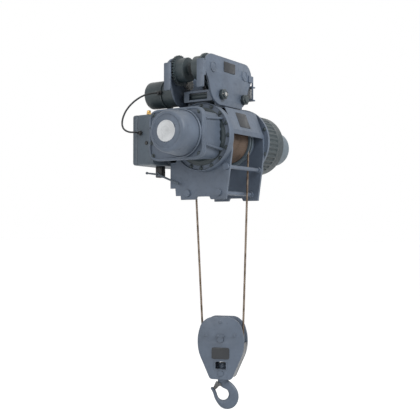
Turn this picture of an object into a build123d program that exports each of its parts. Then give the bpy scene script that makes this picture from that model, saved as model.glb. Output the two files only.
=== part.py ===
from build123d import *
import math
import os

# Electric wire-rope hoist on a beam trolley, in millimetres.
# The origin lies on the beam's running surface, midway between the trolley's side plates and its wheels.
# X runs along the rope drum towards the hoist motor, Y across the beam towards the control box, and Z up.

# Beam and trolley
BEAM_FLANGE = 125.0
FLANGE_CLEARANCE = 2.0
WHEEL_SPACING = 262.0
TREAD_RADIUS = 53.0
TREAD_INNER_Y = 22.0
WHEEL_FLANGE_THICKNESS = 10.0
WHEEL_FLANGE_HEIGHT = 9.0
WHEEL_HUB_RADIUS = 27.0
WHEEL_TO_PLATE = 7.0
WHEEL_AXLE_RADIUS = 15.0
SIDE_PLATE_THICKNESS = 10.0
SIDE_PLATE_INNER_Y = 93.0
SIDE_PLATE_END_SPACE = 64.0
SIDE_PLATE_TOP = 108.0
SIDE_PLATE_BOTTOM = -104.0
SIDE_PLATE_STEP_Z = 30.0
SIDE_PLATE_NECK_Z = -43.0
SIDE_PLATE_CORNER = 34.0
NECK_HALF_LENGTH = 155.0
FOOT_HALF_LENGTH = 88.0
SWEEP_DEPTH = 25.0
SWEEP_GAP = 6.0
SWEEP_THICKNESS = 8.0
SWEEP_BOTTOM = -43.0
SWEEP_TOP = 78.0
AXLE_CAP_RADIUS = 24.0
AXLE_CAP_THICKNESS = 8.0
ROLLER_RADIUS = 16.0
ROLLER_LENGTH = 52.0
ROLLER_END_SPACE = 23.0
ROLLER_BRACKET_GAP = 10.0
ROLLER_Z = -16.0
ROLLER_PIN_RADIUS = 6.0
BRACKET_THICKNESS = 6.0

# Trolley drive
DRIVE_MODULE = 4.0
DRIVE_WHEEL_TEETH = 32
DRIVE_PINION_TEETH = 12
DRIVE_ANGLE = -35.0
DRIVE_GEAR_WIDTH = 13.0
DRIVE_SHAFT_RADIUS = 12.0
REDUCER_MODULE = 1.5
REDUCER_GEAR_TEETH = 35
REDUCER_PINION_TEETH = 14
REDUCER_ANGLE = -104.0
REDUCER_GEAR_WIDTH = 16.0
REDUCER_CASE_DEPTH = 72.0
REDUCER_CASE_RADIUS = 60.0
REDUCER_OUTPUT_RADIUS = 38.0
REDUCER_WALL = 6.0
TRAVERSE_MOTOR_RADIUS = 62.0
TRAVERSE_MOTOR_LENGTH = 102.0
TRAVERSE_MOTOR_WALL = 5.0
TRAVERSE_MOTOR_ROUNDING = 14.0
TRAVERSE_SHAFT_RADIUS = 7.0
TRAVERSE_STATOR_BORE = 34.0
TRAVERSE_STATOR_LENGTH = 58.0
TRAVERSE_STATOR_INSET = 12.0

# Suspension between the trolley and the hoist
SUSPENSION_X = (-62.0, 120.0)
SUSPENSION_Z = -58.0
SUSPENSION_SHAFT_RADIUS = 16.0
SUSPENSION_END = 22.0
SUSPENSION_WASHER_RADIUS = 30.0
SUSPENSION_WASHER_THICKNESS = 9.0
YOKE_CHEEK_Y = 74.0
YOKE_CHEEK_THICKNESS = 10.0
YOKE_TOP = -36.0
YOKE_FRONT_X = -96.0
YOKE_REAR_X = 158.0
YOKE_LIP_Z = -84.0
DECK_TOP = -100.0
DECK_THICKNESS = 10.0
DECK_HALF_WIDTH = 90.0
WINDOW_HALF_WIDTH = 48.0
WINDOW_HEIGHT = 30.0

# Hoist frame
DRUM_Y = -15.0
DRUM_Z = -240.0
FRAME_NEAR_X = -62.0
FRAME_FAR_X = 229.0
FRAME_PLATE_THICKNESS = 12.0
FRAME_BOTTOM = -513.0
FRAME_NOTCH_Z = -500.0
FRAME_FRONT_Y = -150.0
FRAME_FRONT_FOOT_Y = -122.0
FRAME_BACK_FOOT_Y = 114.0
FRAME_EAR_Y = 172.0
FRAME_EAR_Z = -461.0
FRAME_SHOULDER_Z = -300.0
FRAME_TOP_HALF_WIDTH = 90.0
FRAME_BORE_RADIUS = 62.0
TIE_ROD_RADIUS = 9.0
TIE_ROD_NUT_RADIUS = 15.0
TIE_ROD_NUT_THICKNESS = 10.0
TIE_ROD_PLACES = ((-86.0, -484.0), (-126.0, -372.0), (76.0, -484.0))
SEAT = 0.3

# Rope, drum and guide
ROPE_RADIUS = 4.5
ROPE_PITCH = 10.0
DRUM_RADIUS = 94.0
DRUM_WALL = 9.0
DRUM_MARGIN = 7.0
WOUND_TURNS = 18
HUB_RADIUS = 34.0
HUB_FLANGE_THICKNESS = 12.0
HUB_BORE = 15.0
GUIDE_CLEARANCE = 1.6
GUIDE_WALL = 11.0
GUIDE_WIDTH = 24.0
GUIDE_SLOT = 7.5
GUIDE_ROD_RADIUS = 8.0
GUIDE_ROD_ANGLE = -62.0
GUIDE_ROD_ARM = 132.0
GUIDE_LUG_RADIUS = 17.0
RUNNING_FIT = 0.05

# Bearings, as rings
DRUM_BEARING_RADIUS = 52.0
DRUM_BEARING_WIDTH = 20.0
SHAFT_BEARING_RADIUS = 20.0
SHAFT_BEARING_WIDTH = 11.0
MOTOR_BEARING_RADIUS = 24.0
BEARING_BOSS_WALL = 9.0

# Gear case
CASE_FRONT_X = -241.0
CASE_REAR_X = -98.0
CASE_FLANGE_RADIUS = 150.0
CASE_FRONT_Y = -126.0
CASE_BACK_Y = 157.0
CASE_HALF_HEIGHT = 111.0
CASE_CORNER = 46.0
CASE_COVER_THICKNESS = 10.0
CASE_RIM_THICKNESS = 10.0
CASE_BODY_INSET = 11.0
CASE_BODY_CORNER = 40.0
CASE_WALL = 8.0
DOME_BASE_RADIUS = 100.0
DOME_RADIUS = 84.0
DOME_FRONT_X = -355.0
DOME_WALL = 8.0
COVER_DISC_RADIUS = 45.0
COVER_DISC_THICKNESS = 2.0
SCREW_HEAD_RADIUS = 7.0
SCREW_HEAD_HEIGHT = 6.0
SCREW_INSET = 13.0
FLANGE_SCREW_COUNT = 16
FLANGE_SCREW_RADIUS = 139.0
FLANGE_SCREW_BLOCKED = 55.0
FAR_SCREW_COUNT = 8
FAR_SCREW_INSET = 9.0

# Hoist gear train
GEAR_CENTRES = 80.0
FIRST_MODULE = 2.0
FIRST_PINION_TEETH = 14
FIRST_GEAR_TEETH = 66
FIRST_GEAR_X = -214.0
FIRST_GEAR_WIDTH = 20.0
SECOND_MODULE = 2.5
SECOND_PINION_TEETH = 13
SECOND_GEAR_TEETH = 51
SECOND_GEAR_X = -182.0
SECOND_GEAR_WIDTH = 32.0
GEAR_BORE = 30.0
INTERMEDIATE_RADIUS = 10.0
PRESSURE_ANGLE = 20.0
ADDENDUM = 0.8
DEDENDUM = 1.25
BACKLASH = 0.12

# Hoist motor and brake
MOTOR_SHAFT_RADIUS = 12.0
MOTOR_SHAFT_NOSE_RADIUS = 9.0
MOTOR_SHAFT_NOSE_X = -298.0
MOTOR_SHAFT_OVERHANG = 60.0
FAR_FLANGE_RADIUS = 158.0
FAR_FLANGE_THICKNESS = 14.0
MOTOR_SHELL_RADIUS = 132.0
MOTOR_SHELL_BORE = 122.0
MOTOR_LENGTH = 125.0
FIN_HEIGHT = 10.0
FIN_THICKNESS = 4.0
FIN_COUNT = 40
FIN_START = 12.0
FIN_END_SPACE = 4.0
FIN_ROOT = 3.0
MOTOR_SHIELD_THICKNESS = 12.0
MOTOR_SHIELD_INSET = 11.0
STATOR_INSET = 43.0
STATOR_END_SPACE = 22.0
STATOR_BORE = 80.0
END_TURN_RADIUS = 92.0
END_TURN_WIDTH = 20.0
END_TURN_THICKNESS = 22.0
AIR_GAP = 1.0
END_RING_RADIUS = 141.0
END_RING_BORE = 98.0
END_RING_LENGTH = 42.0
END_WALL = 10.0
BRAKE_DISC_RADIUS = 70.0
BRAKE_DISC_THICKNESS = 8.0
BRAKE_DISC_GAP = 5.0
BRAKE_MAGNET_RADIUS = 74.0
BRAKE_MAGNET_LENGTH = 110.0
END_CAP_FLANGE_RADIUS = 112.0
END_CAP_FLANGE_THICKNESS = 6.0
END_CAP_RADIUS = 85.0
END_CAP_LENGTH = 183.0
END_CAP_WALL = 3.0
END_CAP_ROUNDING = 24.0

# Drum guard and bare plates
GUARD_THICKNESS = 3.0
GUARD_LOWER_Y = -152.0
GUARD_LOWER_Z = -208.0
GUARD_UPPER_Y = -112.0
GUARD_UPPER_Z = -113.0
GUARD_PLATE_X = (24.0, 112.0)
GUARD_PLATE_MARGIN = 16.0
TROLLEY_PLATE_SIZE = (94.0, 45.0)
TROLLEY_PLATE_Z = 68.0
BARE_PLATE_THICKNESS = 2.0

# Control box
BOX_FRONT_X = -177.0
BOX_LENGTH = 280.0
BOX_INNER_Y = 184.0
BOX_DEPTH = 87.0
LID_DEPTH = 28.0
BOX_TOP = -132.0
BOX_BOTTOM = -358.0
BOX_WALL = 3.0
BOX_CORNER = 10.0
LID_SCREW_INSET = 14.0
LID_ROUNDING = 6.0
BOX_BRACKET_THICKNESS = 6.0
BOX_BRACKET_OVERLAP = 34.0
BOX_BRACKET_DROP = 105.0
BOX_BRACKET_HEIGHT = 110.0
GEAR_PLATE_MARGIN = 20.0
GEAR_PLATE_THICKNESS = 3.0
CONTACTOR_GAP = 8.0
CONTACTOR_DEPTH = 50.0
CONTACTOR_HEIGHT = 74.0
CONTACTOR_COUNT = 4
GLAND_RADIUS = 11.0
GLAND_LENGTH = 16.0
TOP_GLAND_LENGTH = 19.0
MOTOR_GLAND_LENGTH = 21.0
TOP_GLAND_PLACE = (-158.0, 222.0)
PLUG_PLACE = (220.0, -261.0)

# Traverse cable, from the trolley drive to the control box
CABLE_RADIUS = 4.0
CABLE_ROUTE = [
    (-147.0, 186.0, -37.0),
    (-178.0, 202.0, -41.0),
    (-203.0, 232.0, -56.0),
    (-221.0, 268.0, -84.0),
    (-233.0, 298.0, -122.0),
    (-239.0, 312.0, -166.0),
    (-240.0, 304.0, -200.0),
    (-236.0, 274.0, -216.0),
    (-219.0, 253.0, -215.0),
    (-193.0, 253.0, -215.0),
]

# Upper limit lever
LEVER_X = -88.0
LEVER_HUB = (224.0, -396.0)
LEVER_HUB_RADIUS = 9.0
LEVER_BACK = (285.0, -388.0)
LEVER_TIP = (112.0, -440.0)
LEVER_THICKNESS = 6.0
LEVER_WIDTH = 9.0
LEVER_PIN_RADIUS = 4.0

# Rope anchor and falls
ANCHOR_BAR_PLACE = (121.0, -428.0)
ANCHOR_BAR_RADIUS = 14.0
ANCHOR_X = 72.0
SOCKET_LENGTH = 64.0
SOCKET_EYE_RADIUS = 22.0
SOCKET_MOUTH_HALF_WIDTH = 11.0
SOCKET_HALF_THICKNESS = 14.0
DRUM_FALL_X = 150.0

# Hook block, turned about the vertical
BLOCK_X = 111.0
BLOCK_Y = 1.0
BLOCK_TURN = 18.0
SHEAVE_Z = -1143.0
SHEAVE_PITCH_RADIUS = 94.0
SHEAVE_RIM_RADIUS = 100.0
SHEAVE_WIDTH = 30.0
SHEAVE_WEB = 12.0
SHEAVE_HUB_RADIUS = 26.0
SHEAVE_AXLE_RADIUS = 14.0
CHEEK_INNER = 34.0
CHEEK_THICKNESS = 9.0
CHEEK_TOP = 100.0
CHEEK_BOTTOM = -180.0
CHEEK_WAIST = 109.0
CHEEK_FOOT = 50.0
SPACER_S = 74.0
SPACER_Z = -1238.0
SPACER_RADIUS = 8.0
SIDE_GUARD_THICKNESS = 4.0
SIDE_GUARD_LINE = ((106.0, -1158.0), (101.0, -1205.0), (53.0, -1314.0))
CROSSHEAD_DROP = 153.0
CROSSHEAD_HALF_HEIGHT = 19.0
CROSSHEAD_HALF_WIDTH = 26.0
TRUNNION_RADIUS = 13.0
SHANK_RADIUS = 15.0
HOOK_NECK_RADIUS = 24.0
HOOK_NECK_LENGTH = 16.0
HOOK_NUT_RADIUS = 21.0
HOOK_NUT_THICKNESS = 15.0
HOOK_BOWL_RADIUS = 28.0
HOOK_BOWL_Z = -1394.0
HOOK_BACK = 42.0
HOOK_TAPER = 30.0
HOOK_TAPER_START = 0.35
HOOK_THICKNESS = 32.0
HOOK_TIP_S = 52.0
HOOK_TIP_Z = -1372.0
LATCH_THICKNESS = 3.0
LATCH_PIN_RADIUS = 3.0
LATCH_PIVOT = (9.0, -1350.0)
LATCH_EAR_RADIUS = 6.0
LATCH_LENGTH = 34.0
LATCH_START = 13.0
LATCH_ANGLE = -45.0
BLOCK_PLATE_SIZE = (82.0, 52.0)
BLOCK_PLATE_DROP = 62.0
CHEEK_WINDOW_HALF_WIDTH = 25.0
CHEEK_WINDOW_HEIGHT = 36.0
CHEEK_WINDOW_CORNER = 5.0

# Worked out from the sizes above
PLATE_OUTER_Y = SIDE_PLATE_INNER_Y + SIDE_PLATE_THICKNESS
WHEEL_X = WHEEL_SPACING / 2
SIDE_PLATE_HALF_LENGTH = WHEEL_X + SIDE_PLATE_END_SPACE
ROLLER_X = SIDE_PLATE_HALF_LENGTH + ROLLER_END_SPACE
WHEEL_Z = TREAD_RADIUS
WHEEL_FLANGE_Y = BEAM_FLANGE / 2 + FLANGE_CLEARANCE
WHEEL_OUTER_Y = SIDE_PLATE_INNER_Y - WHEEL_TO_PLATE
FRAME_NEAR_INNER_X = FRAME_NEAR_X + FRAME_PLATE_THICKNESS
FRAME_FAR_INNER_X = FRAME_FAR_X - FRAME_PLATE_THICKNESS
DECK_BOTTOM = DECK_TOP - DECK_THICKNESS
WINDING_RADIUS = DRUM_RADIUS + ROPE_RADIUS
WINDING_END_X = DRUM_FALL_X - ROPE_RADIUS - 2 * SEAT
WINDING_START_X = WINDING_END_X - WOUND_TURNS * ROPE_PITCH
INTERMEDIATE_Y = DRUM_Y + GEAR_CENTRES
MOTOR_START_X = FRAME_FAR_X + FAR_FLANGE_THICKNESS
MOTOR_END_X = MOTOR_START_X + MOTOR_LENGTH
END_RING_END_X = MOTOR_END_X + END_RING_LENGTH
MOTOR_SHAFT_END_X = END_RING_END_X + MOTOR_SHAFT_OVERHANG
MOTOR_SHIELD_X = MOTOR_START_X + MOTOR_SHIELD_INSET
STATOR_X = MOTOR_START_X + STATOR_INSET
STATOR_LENGTH = MOTOR_LENGTH - STATOR_INSET - STATOR_END_SPACE
CROSSHEAD_Z = SHEAVE_Z - CROSSHEAD_DROP
SOCKET_BOTTOM = ANCHOR_BAR_PLACE[1] - SOCKET_LENGTH
DRIVE_CENTRES = DRIVE_MODULE * (DRIVE_WHEEL_TEETH + DRIVE_PINION_TEETH) / 2
REDUCER_CENTRES = REDUCER_MODULE * (REDUCER_GEAR_TEETH + REDUCER_PINION_TEETH) / 2
REDUCER_START_Y = PLATE_OUTER_Y
REDUCER_END_Y = REDUCER_START_Y + REDUCER_CASE_DEPTH
LID_Y = BOX_INNER_Y + BOX_DEPTH


def polar(centre, radius, angle):
    """The point at a radius and an angle from a centre, in a plane."""
    turn = math.radians(angle)
    return (centre[0] + radius * math.cos(turn), centre[1] + radius * math.sin(turn))


DRIVE_PINION_PLACE = polar((-WHEEL_X, WHEEL_Z), DRIVE_CENTRES, DRIVE_ANGLE)
TRAVERSE_MOTOR_PLACE = polar(DRIVE_PINION_PLACE, REDUCER_CENTRES, REDUCER_ANGLE)


def rod(start, direction, length, radius, bore=0.0):
    """A round bar, or a tube, from a point along a direction."""
    place = Plane(origin=start, z_dir=direction)
    lift = (Align.CENTER, Align.CENTER, Align.MIN)
    solid = place * Cylinder(radius, length, align=lift)
    if bore:
        solid -= place * Cylinder(bore, length, align=lift)
    return solid


def rod_x(x0, x1, centre, radius, bore=0.0):
    """A round bar or tube along X, its centre given in Y and Z."""
    return rod((x0, centre[0], centre[1]), (1, 0, 0), x1 - x0, radius, bore)


def rod_y(y0, y1, centre, radius, bore=0.0):
    """A round bar or tube along Y, its centre given in X and Z."""
    return rod((centre[0], y0, centre[1]), (0, 1, 0), y1 - y0, radius, bore)


def rod_z(z0, z1, centre, radius, bore=0.0):
    """A round bar or tube along Z, its centre given in X and Y."""
    return rod((centre[0], centre[1], z0), (0, 0, 1), z1 - z0, radius, bore)


def block(x0, x1, y0, y1, z0, z1):
    """A box between two corners."""
    low = (Align.MIN, Align.MIN, Align.MIN)
    return Pos(x0, y0, z0) * Box(x1 - x0, y1 - y0, z1 - z0, align=low)


def outline(points):
    """A flat face inside straight edges."""
    return make_face(Polyline(*points, close=True))


def last_rim(solid, axis):
    """The circular edge that lies furthest along an axis."""
    return solid.edges().filter_by(GeomType.CIRCLE).sort_by(axis)[-1]


def slab_x(face, x0, x1):
    """A face drawn in Y and Z, as a plate across X."""
    place = Plane(origin=(x0, 0, 0), x_dir=(0, 1, 0), z_dir=(1, 0, 0))
    return extrude(place * face, x1 - x0)


def slab_y(face, y0, y1):
    """A face drawn in X and Z, as a plate across Y."""
    place = Plane(origin=(0, y1, 0), x_dir=(1, 0, 0), z_dir=(0, -1, 0))
    return extrude(place * face, y1 - y0)


def rounded(width, height, corner):
    """A rectangle with round corners, about its centre."""
    return RectangleRounded(width, height, corner)


def turned_block(solid):
    """A solid drawn with the sheave's axis along X, put where the turned block hangs."""
    return Pos(BLOCK_X, BLOCK_Y, 0) * Rot(0, 0, BLOCK_TURN) * solid


def gear_face(teeth, module, angle):
    """The outline of a spur gear with stub involute teeth, one tooth pointing at an angle."""
    pitch = module * teeth / 2
    base = pitch * math.cos(math.radians(PRESSURE_ANGLE))
    root = pitch - DEDENDUM * module
    tip = pitch + ADDENDUM * module
    turn = math.radians(PRESSURE_ANGLE)
    half = math.pi / (2 * teeth) - BACKLASH * module / (2 * pitch) + math.tan(turn) - turn
    first = max(base, root)
    steps = 3
    flank = []
    for step in range(steps + 1):
        radius = first + (tip - first) * step / steps
        slope = math.acos(min(1.0, base / radius))
        flank.append((radius, half - (math.tan(slope) - slope)))
    if root < first:
        flank.insert(0, (root, flank[0][1]))
    points = []
    for tooth in range(teeth):
        middle = math.radians(angle) + 2 * math.pi * tooth / teeth
        for radius, offset in flank:
            points.append((radius * math.cos(middle - offset), radius * math.sin(middle - offset)))
        for radius, offset in reversed(flank):
            points.append((radius * math.cos(middle + offset), radius * math.sin(middle + offset)))
    return outline(points)


def side_plate_face():
    """The trolley plate's outline in X and Z: a wide upper part, a stepped neck and a foot."""
    half = [
        (FOOT_HALF_LENGTH, SIDE_PLATE_BOTTOM),
        (NECK_HALF_LENGTH - SIDE_PLATE_CORNER, SIDE_PLATE_BOTTOM + 14.0),
        (NECK_HALF_LENGTH - 14.0, -69.0),
        (NECK_HALF_LENGTH, SIDE_PLATE_NECK_Z),
        (NECK_HALF_LENGTH + 12.0, -5.0),
        (SIDE_PLATE_HALF_LENGTH, SIDE_PLATE_STEP_Z),
        (SIDE_PLATE_HALF_LENGTH, SIDE_PLATE_TOP - SIDE_PLATE_CORNER),
        (SIDE_PLATE_HALF_LENGTH - SIDE_PLATE_CORNER, SIDE_PLATE_TOP),
    ]
    return outline(half + [(-x, z) for x, z in reversed(half)])


def trolley_plate(side):
    """One side plate with its bent sweep, on the side given as 1 or -1."""
    near = side * SIDE_PLATE_INNER_Y
    far = side * PLATE_OUTER_Y
    plate = slab_y(side_plate_face(), min(near, far), max(near, far))
    sweep_y = side * (SIDE_PLATE_INNER_Y - SWEEP_DEPTH)
    sweep_x = -SIDE_PLATE_HALF_LENGTH - SWEEP_GAP - SWEEP_THICKNESS
    across = sorted((sweep_y, far))
    plate += block(sweep_x, sweep_x + SWEEP_THICKNESS, across[0], across[1], SWEEP_BOTTOM, SWEEP_TOP)
    end = sweep_x + SWEEP_THICKNESS + SWEEP_GAP + 1.0
    plate += block(sweep_x, end, min(near, far), max(near, far), SWEEP_BOTTOM + 50.0, SWEEP_TOP - 8.0)
    for x in (-WHEEL_X, WHEEL_X):
        plate -= rod_y(min(near, far), max(near, far), (x, WHEEL_Z), WHEEL_AXLE_RADIUS + SEAT)
    for x in SUSPENSION_X:
        plate -= rod_y(min(near, far), max(near, far), (x, SUSPENSION_Z), SUSPENSION_SHAFT_RADIUS + SEAT)
    if side > 0:
        plate -= rod_y(near, far, DRIVE_PINION_PLACE, DRIVE_SHAFT_RADIUS + 4.0)
    return plate


def wheel(side_x, side_y, driven):
    """A trolley wheel: tread, guiding flange and hub, bored to run on its axle."""
    centre = (side_x * WHEEL_X, WHEEL_Z)
    flange_end = WHEEL_FLANGE_Y + WHEEL_FLANGE_THICKNESS

    def piece(low, high, radius):
        ends = sorted((side_y * low, side_y * high))
        return rod_y(ends[0], ends[1], centre, radius)

    solid = piece(TREAD_INNER_Y, WHEEL_FLANGE_Y, TREAD_RADIUS)
    if driven:
        teeth = gear_face(DRIVE_WHEEL_TEETH, DRIVE_MODULE, DRIVE_ANGLE)
        toothed = Pos(centre[0], centre[1], 0) * teeth
        solid += slab_y(toothed, WHEEL_FLANGE_Y, WHEEL_FLANGE_Y + DRIVE_GEAR_WIDTH)
    else:
        solid += piece(WHEEL_FLANGE_Y, flange_end, TREAD_RADIUS + WHEEL_FLANGE_HEIGHT)
    solid += piece(WHEEL_FLANGE_Y, WHEEL_OUTER_Y, WHEEL_HUB_RADIUS)
    return solid - piece(TREAD_INNER_Y, WHEEL_OUTER_Y, WHEEL_AXLE_RADIUS + RUNNING_FIT)


def trolley_shafts():
    """Wheel axles with inner collars, spacers beside the plates, and the two suspension shafts."""
    pieces = []
    for side in (-1, 1):
        for x in (-WHEEL_X, WHEEL_X):
            ends = sorted((side * (TREAD_INNER_Y - SEAT), side * PLATE_OUTER_Y))
            axle = rod_y(ends[0], ends[1], (x, WHEEL_Z), WHEEL_AXLE_RADIUS)
            collar = sorted((side * (TREAD_INNER_Y - 4.0), side * (TREAD_INNER_Y - SEAT)))
            axle += rod_y(collar[0], collar[1], (x, WHEEL_Z), WHEEL_AXLE_RADIUS + 5.0)
            spacer = sorted((side * (WHEEL_OUTER_Y + SEAT), side * SIDE_PLATE_INNER_Y))
            axle += rod_y(spacer[0], spacer[1], (x, WHEEL_Z), WHEEL_AXLE_RADIUS + 6.0)
            pieces.append(axle)
    near_end = -PLATE_OUTER_Y - SUSPENSION_END
    for x, back_end in zip(SUSPENSION_X, (PLATE_OUTER_Y - SEAT, -near_end)):
        pieces.append(rod_y(near_end, back_end, (x, SUSPENSION_Z), SUSPENSION_SHAFT_RADIUS))
    return pieces


def axle_caps():
    """Round covers over the wheel axles, and the washers with nuts of the suspension shafts."""
    pieces = []
    for side in (-1, 1):
        ends = sorted((side * PLATE_OUTER_Y, side * (PLATE_OUTER_Y + AXLE_CAP_THICKNESS)))
        for x in (-WHEEL_X, WHEEL_X):
            cap = rod_y(ends[0], ends[1], (x, WHEEL_Z), AXLE_CAP_RADIUS)
            pieces.append(cap)
        ends = sorted((side * PLATE_OUTER_Y, side * (PLATE_OUTER_Y + SUSPENSION_WASHER_THICKNESS)))
        for x in SUSPENSION_X:
            if side > 0 and x == SUSPENSION_X[0]:
                continue
            bore = SUSPENSION_SHAFT_RADIUS + SEAT
            pieces.append(rod_y(ends[0], ends[1], (x, SUSPENSION_Z), SUSPENSION_WASHER_RADIUS, bore))
    return pieces


def roller_brackets():
    """A pin and two lugs at the trolley's far end, for each side guide roller."""
    pieces = []
    half = ROLLER_LENGTH / 2 + 1.0
    plate_end = SIDE_PLATE_HALF_LENGTH
    for side in (-1, 1):
        centre = (ROLLER_X, side * roller_y())
        low = ROLLER_Z - half - BRACKET_THICKNESS
        bracket = rod_z(low, ROLLER_Z + half + BRACKET_THICKNESS, centre, ROLLER_PIN_RADIUS)
        outer = side * PLATE_OUTER_Y
        lug = sorted((outer, side * (roller_y() - 12.0)))
        for z in (low, ROLLER_Z + half):
            bracket += block(plate_end + 1.0, ROLLER_X + 12.0, lug[0], lug[1], z, z + BRACKET_THICKNESS)
        high = SIDE_PLATE_STEP_Z + 30.0
        wall = sorted((outer, side * (PLATE_OUTER_Y + BRACKET_THICKNESS)))
        wall_end = ROLLER_X - ROLLER_RADIUS
        start = WHEEL_X + AXLE_CAP_RADIUS + ROLLER_BRACKET_GAP
        bracket += block(start, wall_end, wall[0], wall[1], SIDE_PLATE_STEP_Z, high)
        bracket += block(plate_end + 1.0, wall_end, wall[0], wall[1], low, high)
        pieces.append(bracket)
    return pieces


def roller_y():
    """How far a guide roller's axis stands from the beam's middle."""
    return BEAM_FLANGE / 2 + FLANGE_CLEARANCE + ROLLER_RADIUS


def guide_roller(side):
    """A side guide roller with rounded ends, bored for its pin."""
    half = ROLLER_LENGTH / 2
    centre = (ROLLER_X, side * roller_y())
    solid = rod_z(ROLLER_Z - half, ROLLER_Z + half, centre, ROLLER_RADIUS)
    rims = solid.edges().filter_by(GeomType.CIRCLE)
    solid = chamfer(rims, 3.0)
    return solid - rod_z(ROLLER_Z - half, ROLLER_Z + half, centre, ROLLER_PIN_RADIUS + RUNNING_FIT)


def top_deck():
    """The deck over the drum, with the yoke's cheeks and its front plate with a window."""
    deck = block(FRAME_NEAR_X, FRAME_FAR_X, -DECK_HALF_WIDTH, DECK_HALF_WIDTH, DECK_BOTTOM, DECK_TOP)
    for side in (-1, 1):
        cheek_y = sorted((side * YOKE_CHEEK_Y, side * (YOKE_CHEEK_Y - YOKE_CHEEK_THICKNESS)))
        deck += block(FRAME_NEAR_X, YOKE_REAR_X, cheek_y[0], cheek_y[1], DECK_TOP, YOKE_TOP)
        deck += block(YOKE_FRONT_X, FRAME_NEAR_X, cheek_y[0], cheek_y[1], YOKE_LIP_Z, YOKE_TOP)
        for x in SUSPENSION_X:
            deck -= rod_y(cheek_y[0], cheek_y[1], (x, SUSPENSION_Z), SUSPENSION_SHAFT_RADIUS + SEAT)
    inner = YOKE_CHEEK_Y - YOKE_CHEEK_THICKNESS
    front = block(YOKE_FRONT_X, YOKE_FRONT_X + 10.0, -inner, inner, YOKE_LIP_Z, YOKE_TOP)
    window_top = YOKE_TOP - 9.0
    half = WINDOW_HALF_WIDTH
    window = block(YOKE_FRONT_X, YOKE_FRONT_X + 10.0, -half, half, window_top - WINDOW_HEIGHT, window_top)
    return deck + front - window


def frame_plate_face(ear):
    """The hoist frame plate's outline in Y and Z, with two feet, a notch and maybe a back ear."""
    back = FRAME_BACK_FOOT_Y
    points = [
        (-FRAME_TOP_HALF_WIDTH, DECK_BOTTOM),
        (FRAME_FRONT_Y, GUARD_LOWER_Z - 6.0),
        (FRAME_FRONT_Y - 3.0, FRAME_SHOULDER_Z),
        (FRAME_FRONT_FOOT_Y, FRAME_BOTTOM),
        (-45.0, FRAME_BOTTOM),
        (-37.0, FRAME_NOTCH_Z),
        (30.0, FRAME_NOTCH_Z),
        (37.0, FRAME_BOTTOM),
        (back, FRAME_BOTTOM),
        (back + 2.0, FRAME_BOTTOM + 18.0),
    ]
    if ear:
        points += [(back + 28.0, FRAME_BOTTOM + 18.0), (back + 31.0, FRAME_EAR_Z)]
        points += [(FRAME_EAR_Y, FRAME_EAR_Z), (FRAME_EAR_Y, FRAME_SHOULDER_Z)]
    else:
        points += [(FRAME_EAR_Y - 20.0, FRAME_EAR_Z), (FRAME_EAR_Y, FRAME_SHOULDER_Z)]
    points += [(FRAME_EAR_Y, GUARD_LOWER_Z - 6.0), (FRAME_TOP_HALF_WIDTH, DECK_BOTTOM)]
    return outline(points)


def frame_plate(x0, ear):
    """One end plate of the hoist frame, open round the drum's hub."""
    x1 = x0 + FRAME_PLATE_THICKNESS
    plate = slab_x(frame_plate_face(ear), x0, x1)
    plate -= rod_x(x0, x1, (DRUM_Y, DRUM_Z), FRAME_BORE_RADIUS)
    for place in TIE_ROD_PLACES:
        plate -= rod_x(x0, x1, place, TIE_ROD_RADIUS + SEAT)
    plate -= rod_x(x0, x1, ANCHOR_BAR_PLACE, ANCHOR_BAR_RADIUS + SEAT)
    plate -= rod_x(x0, x1, guide_rod_place(), GUIDE_ROD_RADIUS + SEAT)
    return plate


def guide_rod_place():
    """The rope guide's rod, in Y and Z."""
    return polar((DRUM_Y, DRUM_Z), GUIDE_ROD_ARM, GUIDE_ROD_ANGLE)


def frame_bars():
    """Tie rods with nuts, the guide rod and the rope's anchor bar, from plate to plate."""
    pieces = []
    for place in TIE_ROD_PLACES:
        end = TIE_ROD_NUT_THICKNESS
        bar = rod_x(FRAME_NEAR_X - end, FRAME_FAR_X + end, place, TIE_ROD_RADIUS)
        for x in (FRAME_NEAR_X - end, FRAME_FAR_X):
            bar += rod_x(x, x + end, place, TIE_ROD_NUT_RADIUS)
        for x in (FRAME_NEAR_INNER_X, FRAME_FAR_INNER_X - end):
            bar += rod_x(x, x + end, place, TIE_ROD_NUT_RADIUS)
        pieces.append(bar)
    pieces.append(rod_x(FRAME_NEAR_X, FRAME_FAR_X, guide_rod_place(), GUIDE_ROD_RADIUS))
    pieces.append(rod_x(FRAME_NEAR_X, FRAME_FAR_X, ANCHOR_BAR_PLACE, ANCHOR_BAR_RADIUS))
    return pieces


def rope_socket():
    """The wedge socket that hangs on the anchor bar and holds the rope's end."""
    y, z = ANCHOR_BAR_PLACE
    half = SOCKET_HALF_THICKNESS
    eye = SOCKET_EYE_RADIUS
    mouth = SOCKET_MOUTH_HALF_WIDTH
    profile = [(y - eye, z), (y - mouth, SOCKET_BOTTOM), (y + mouth, SOCKET_BOTTOM), (y + eye, z)]
    socket = slab_x(outline(profile), ANCHOR_X - half, ANCHOR_X + half)
    socket += rod_x(ANCHOR_X - half, ANCHOR_X + half, (y, z), eye)
    return socket - rod_x(ANCHOR_X - half, ANCHOR_X + half, (y, z), ANCHOR_BAR_RADIUS + SEAT)


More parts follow.
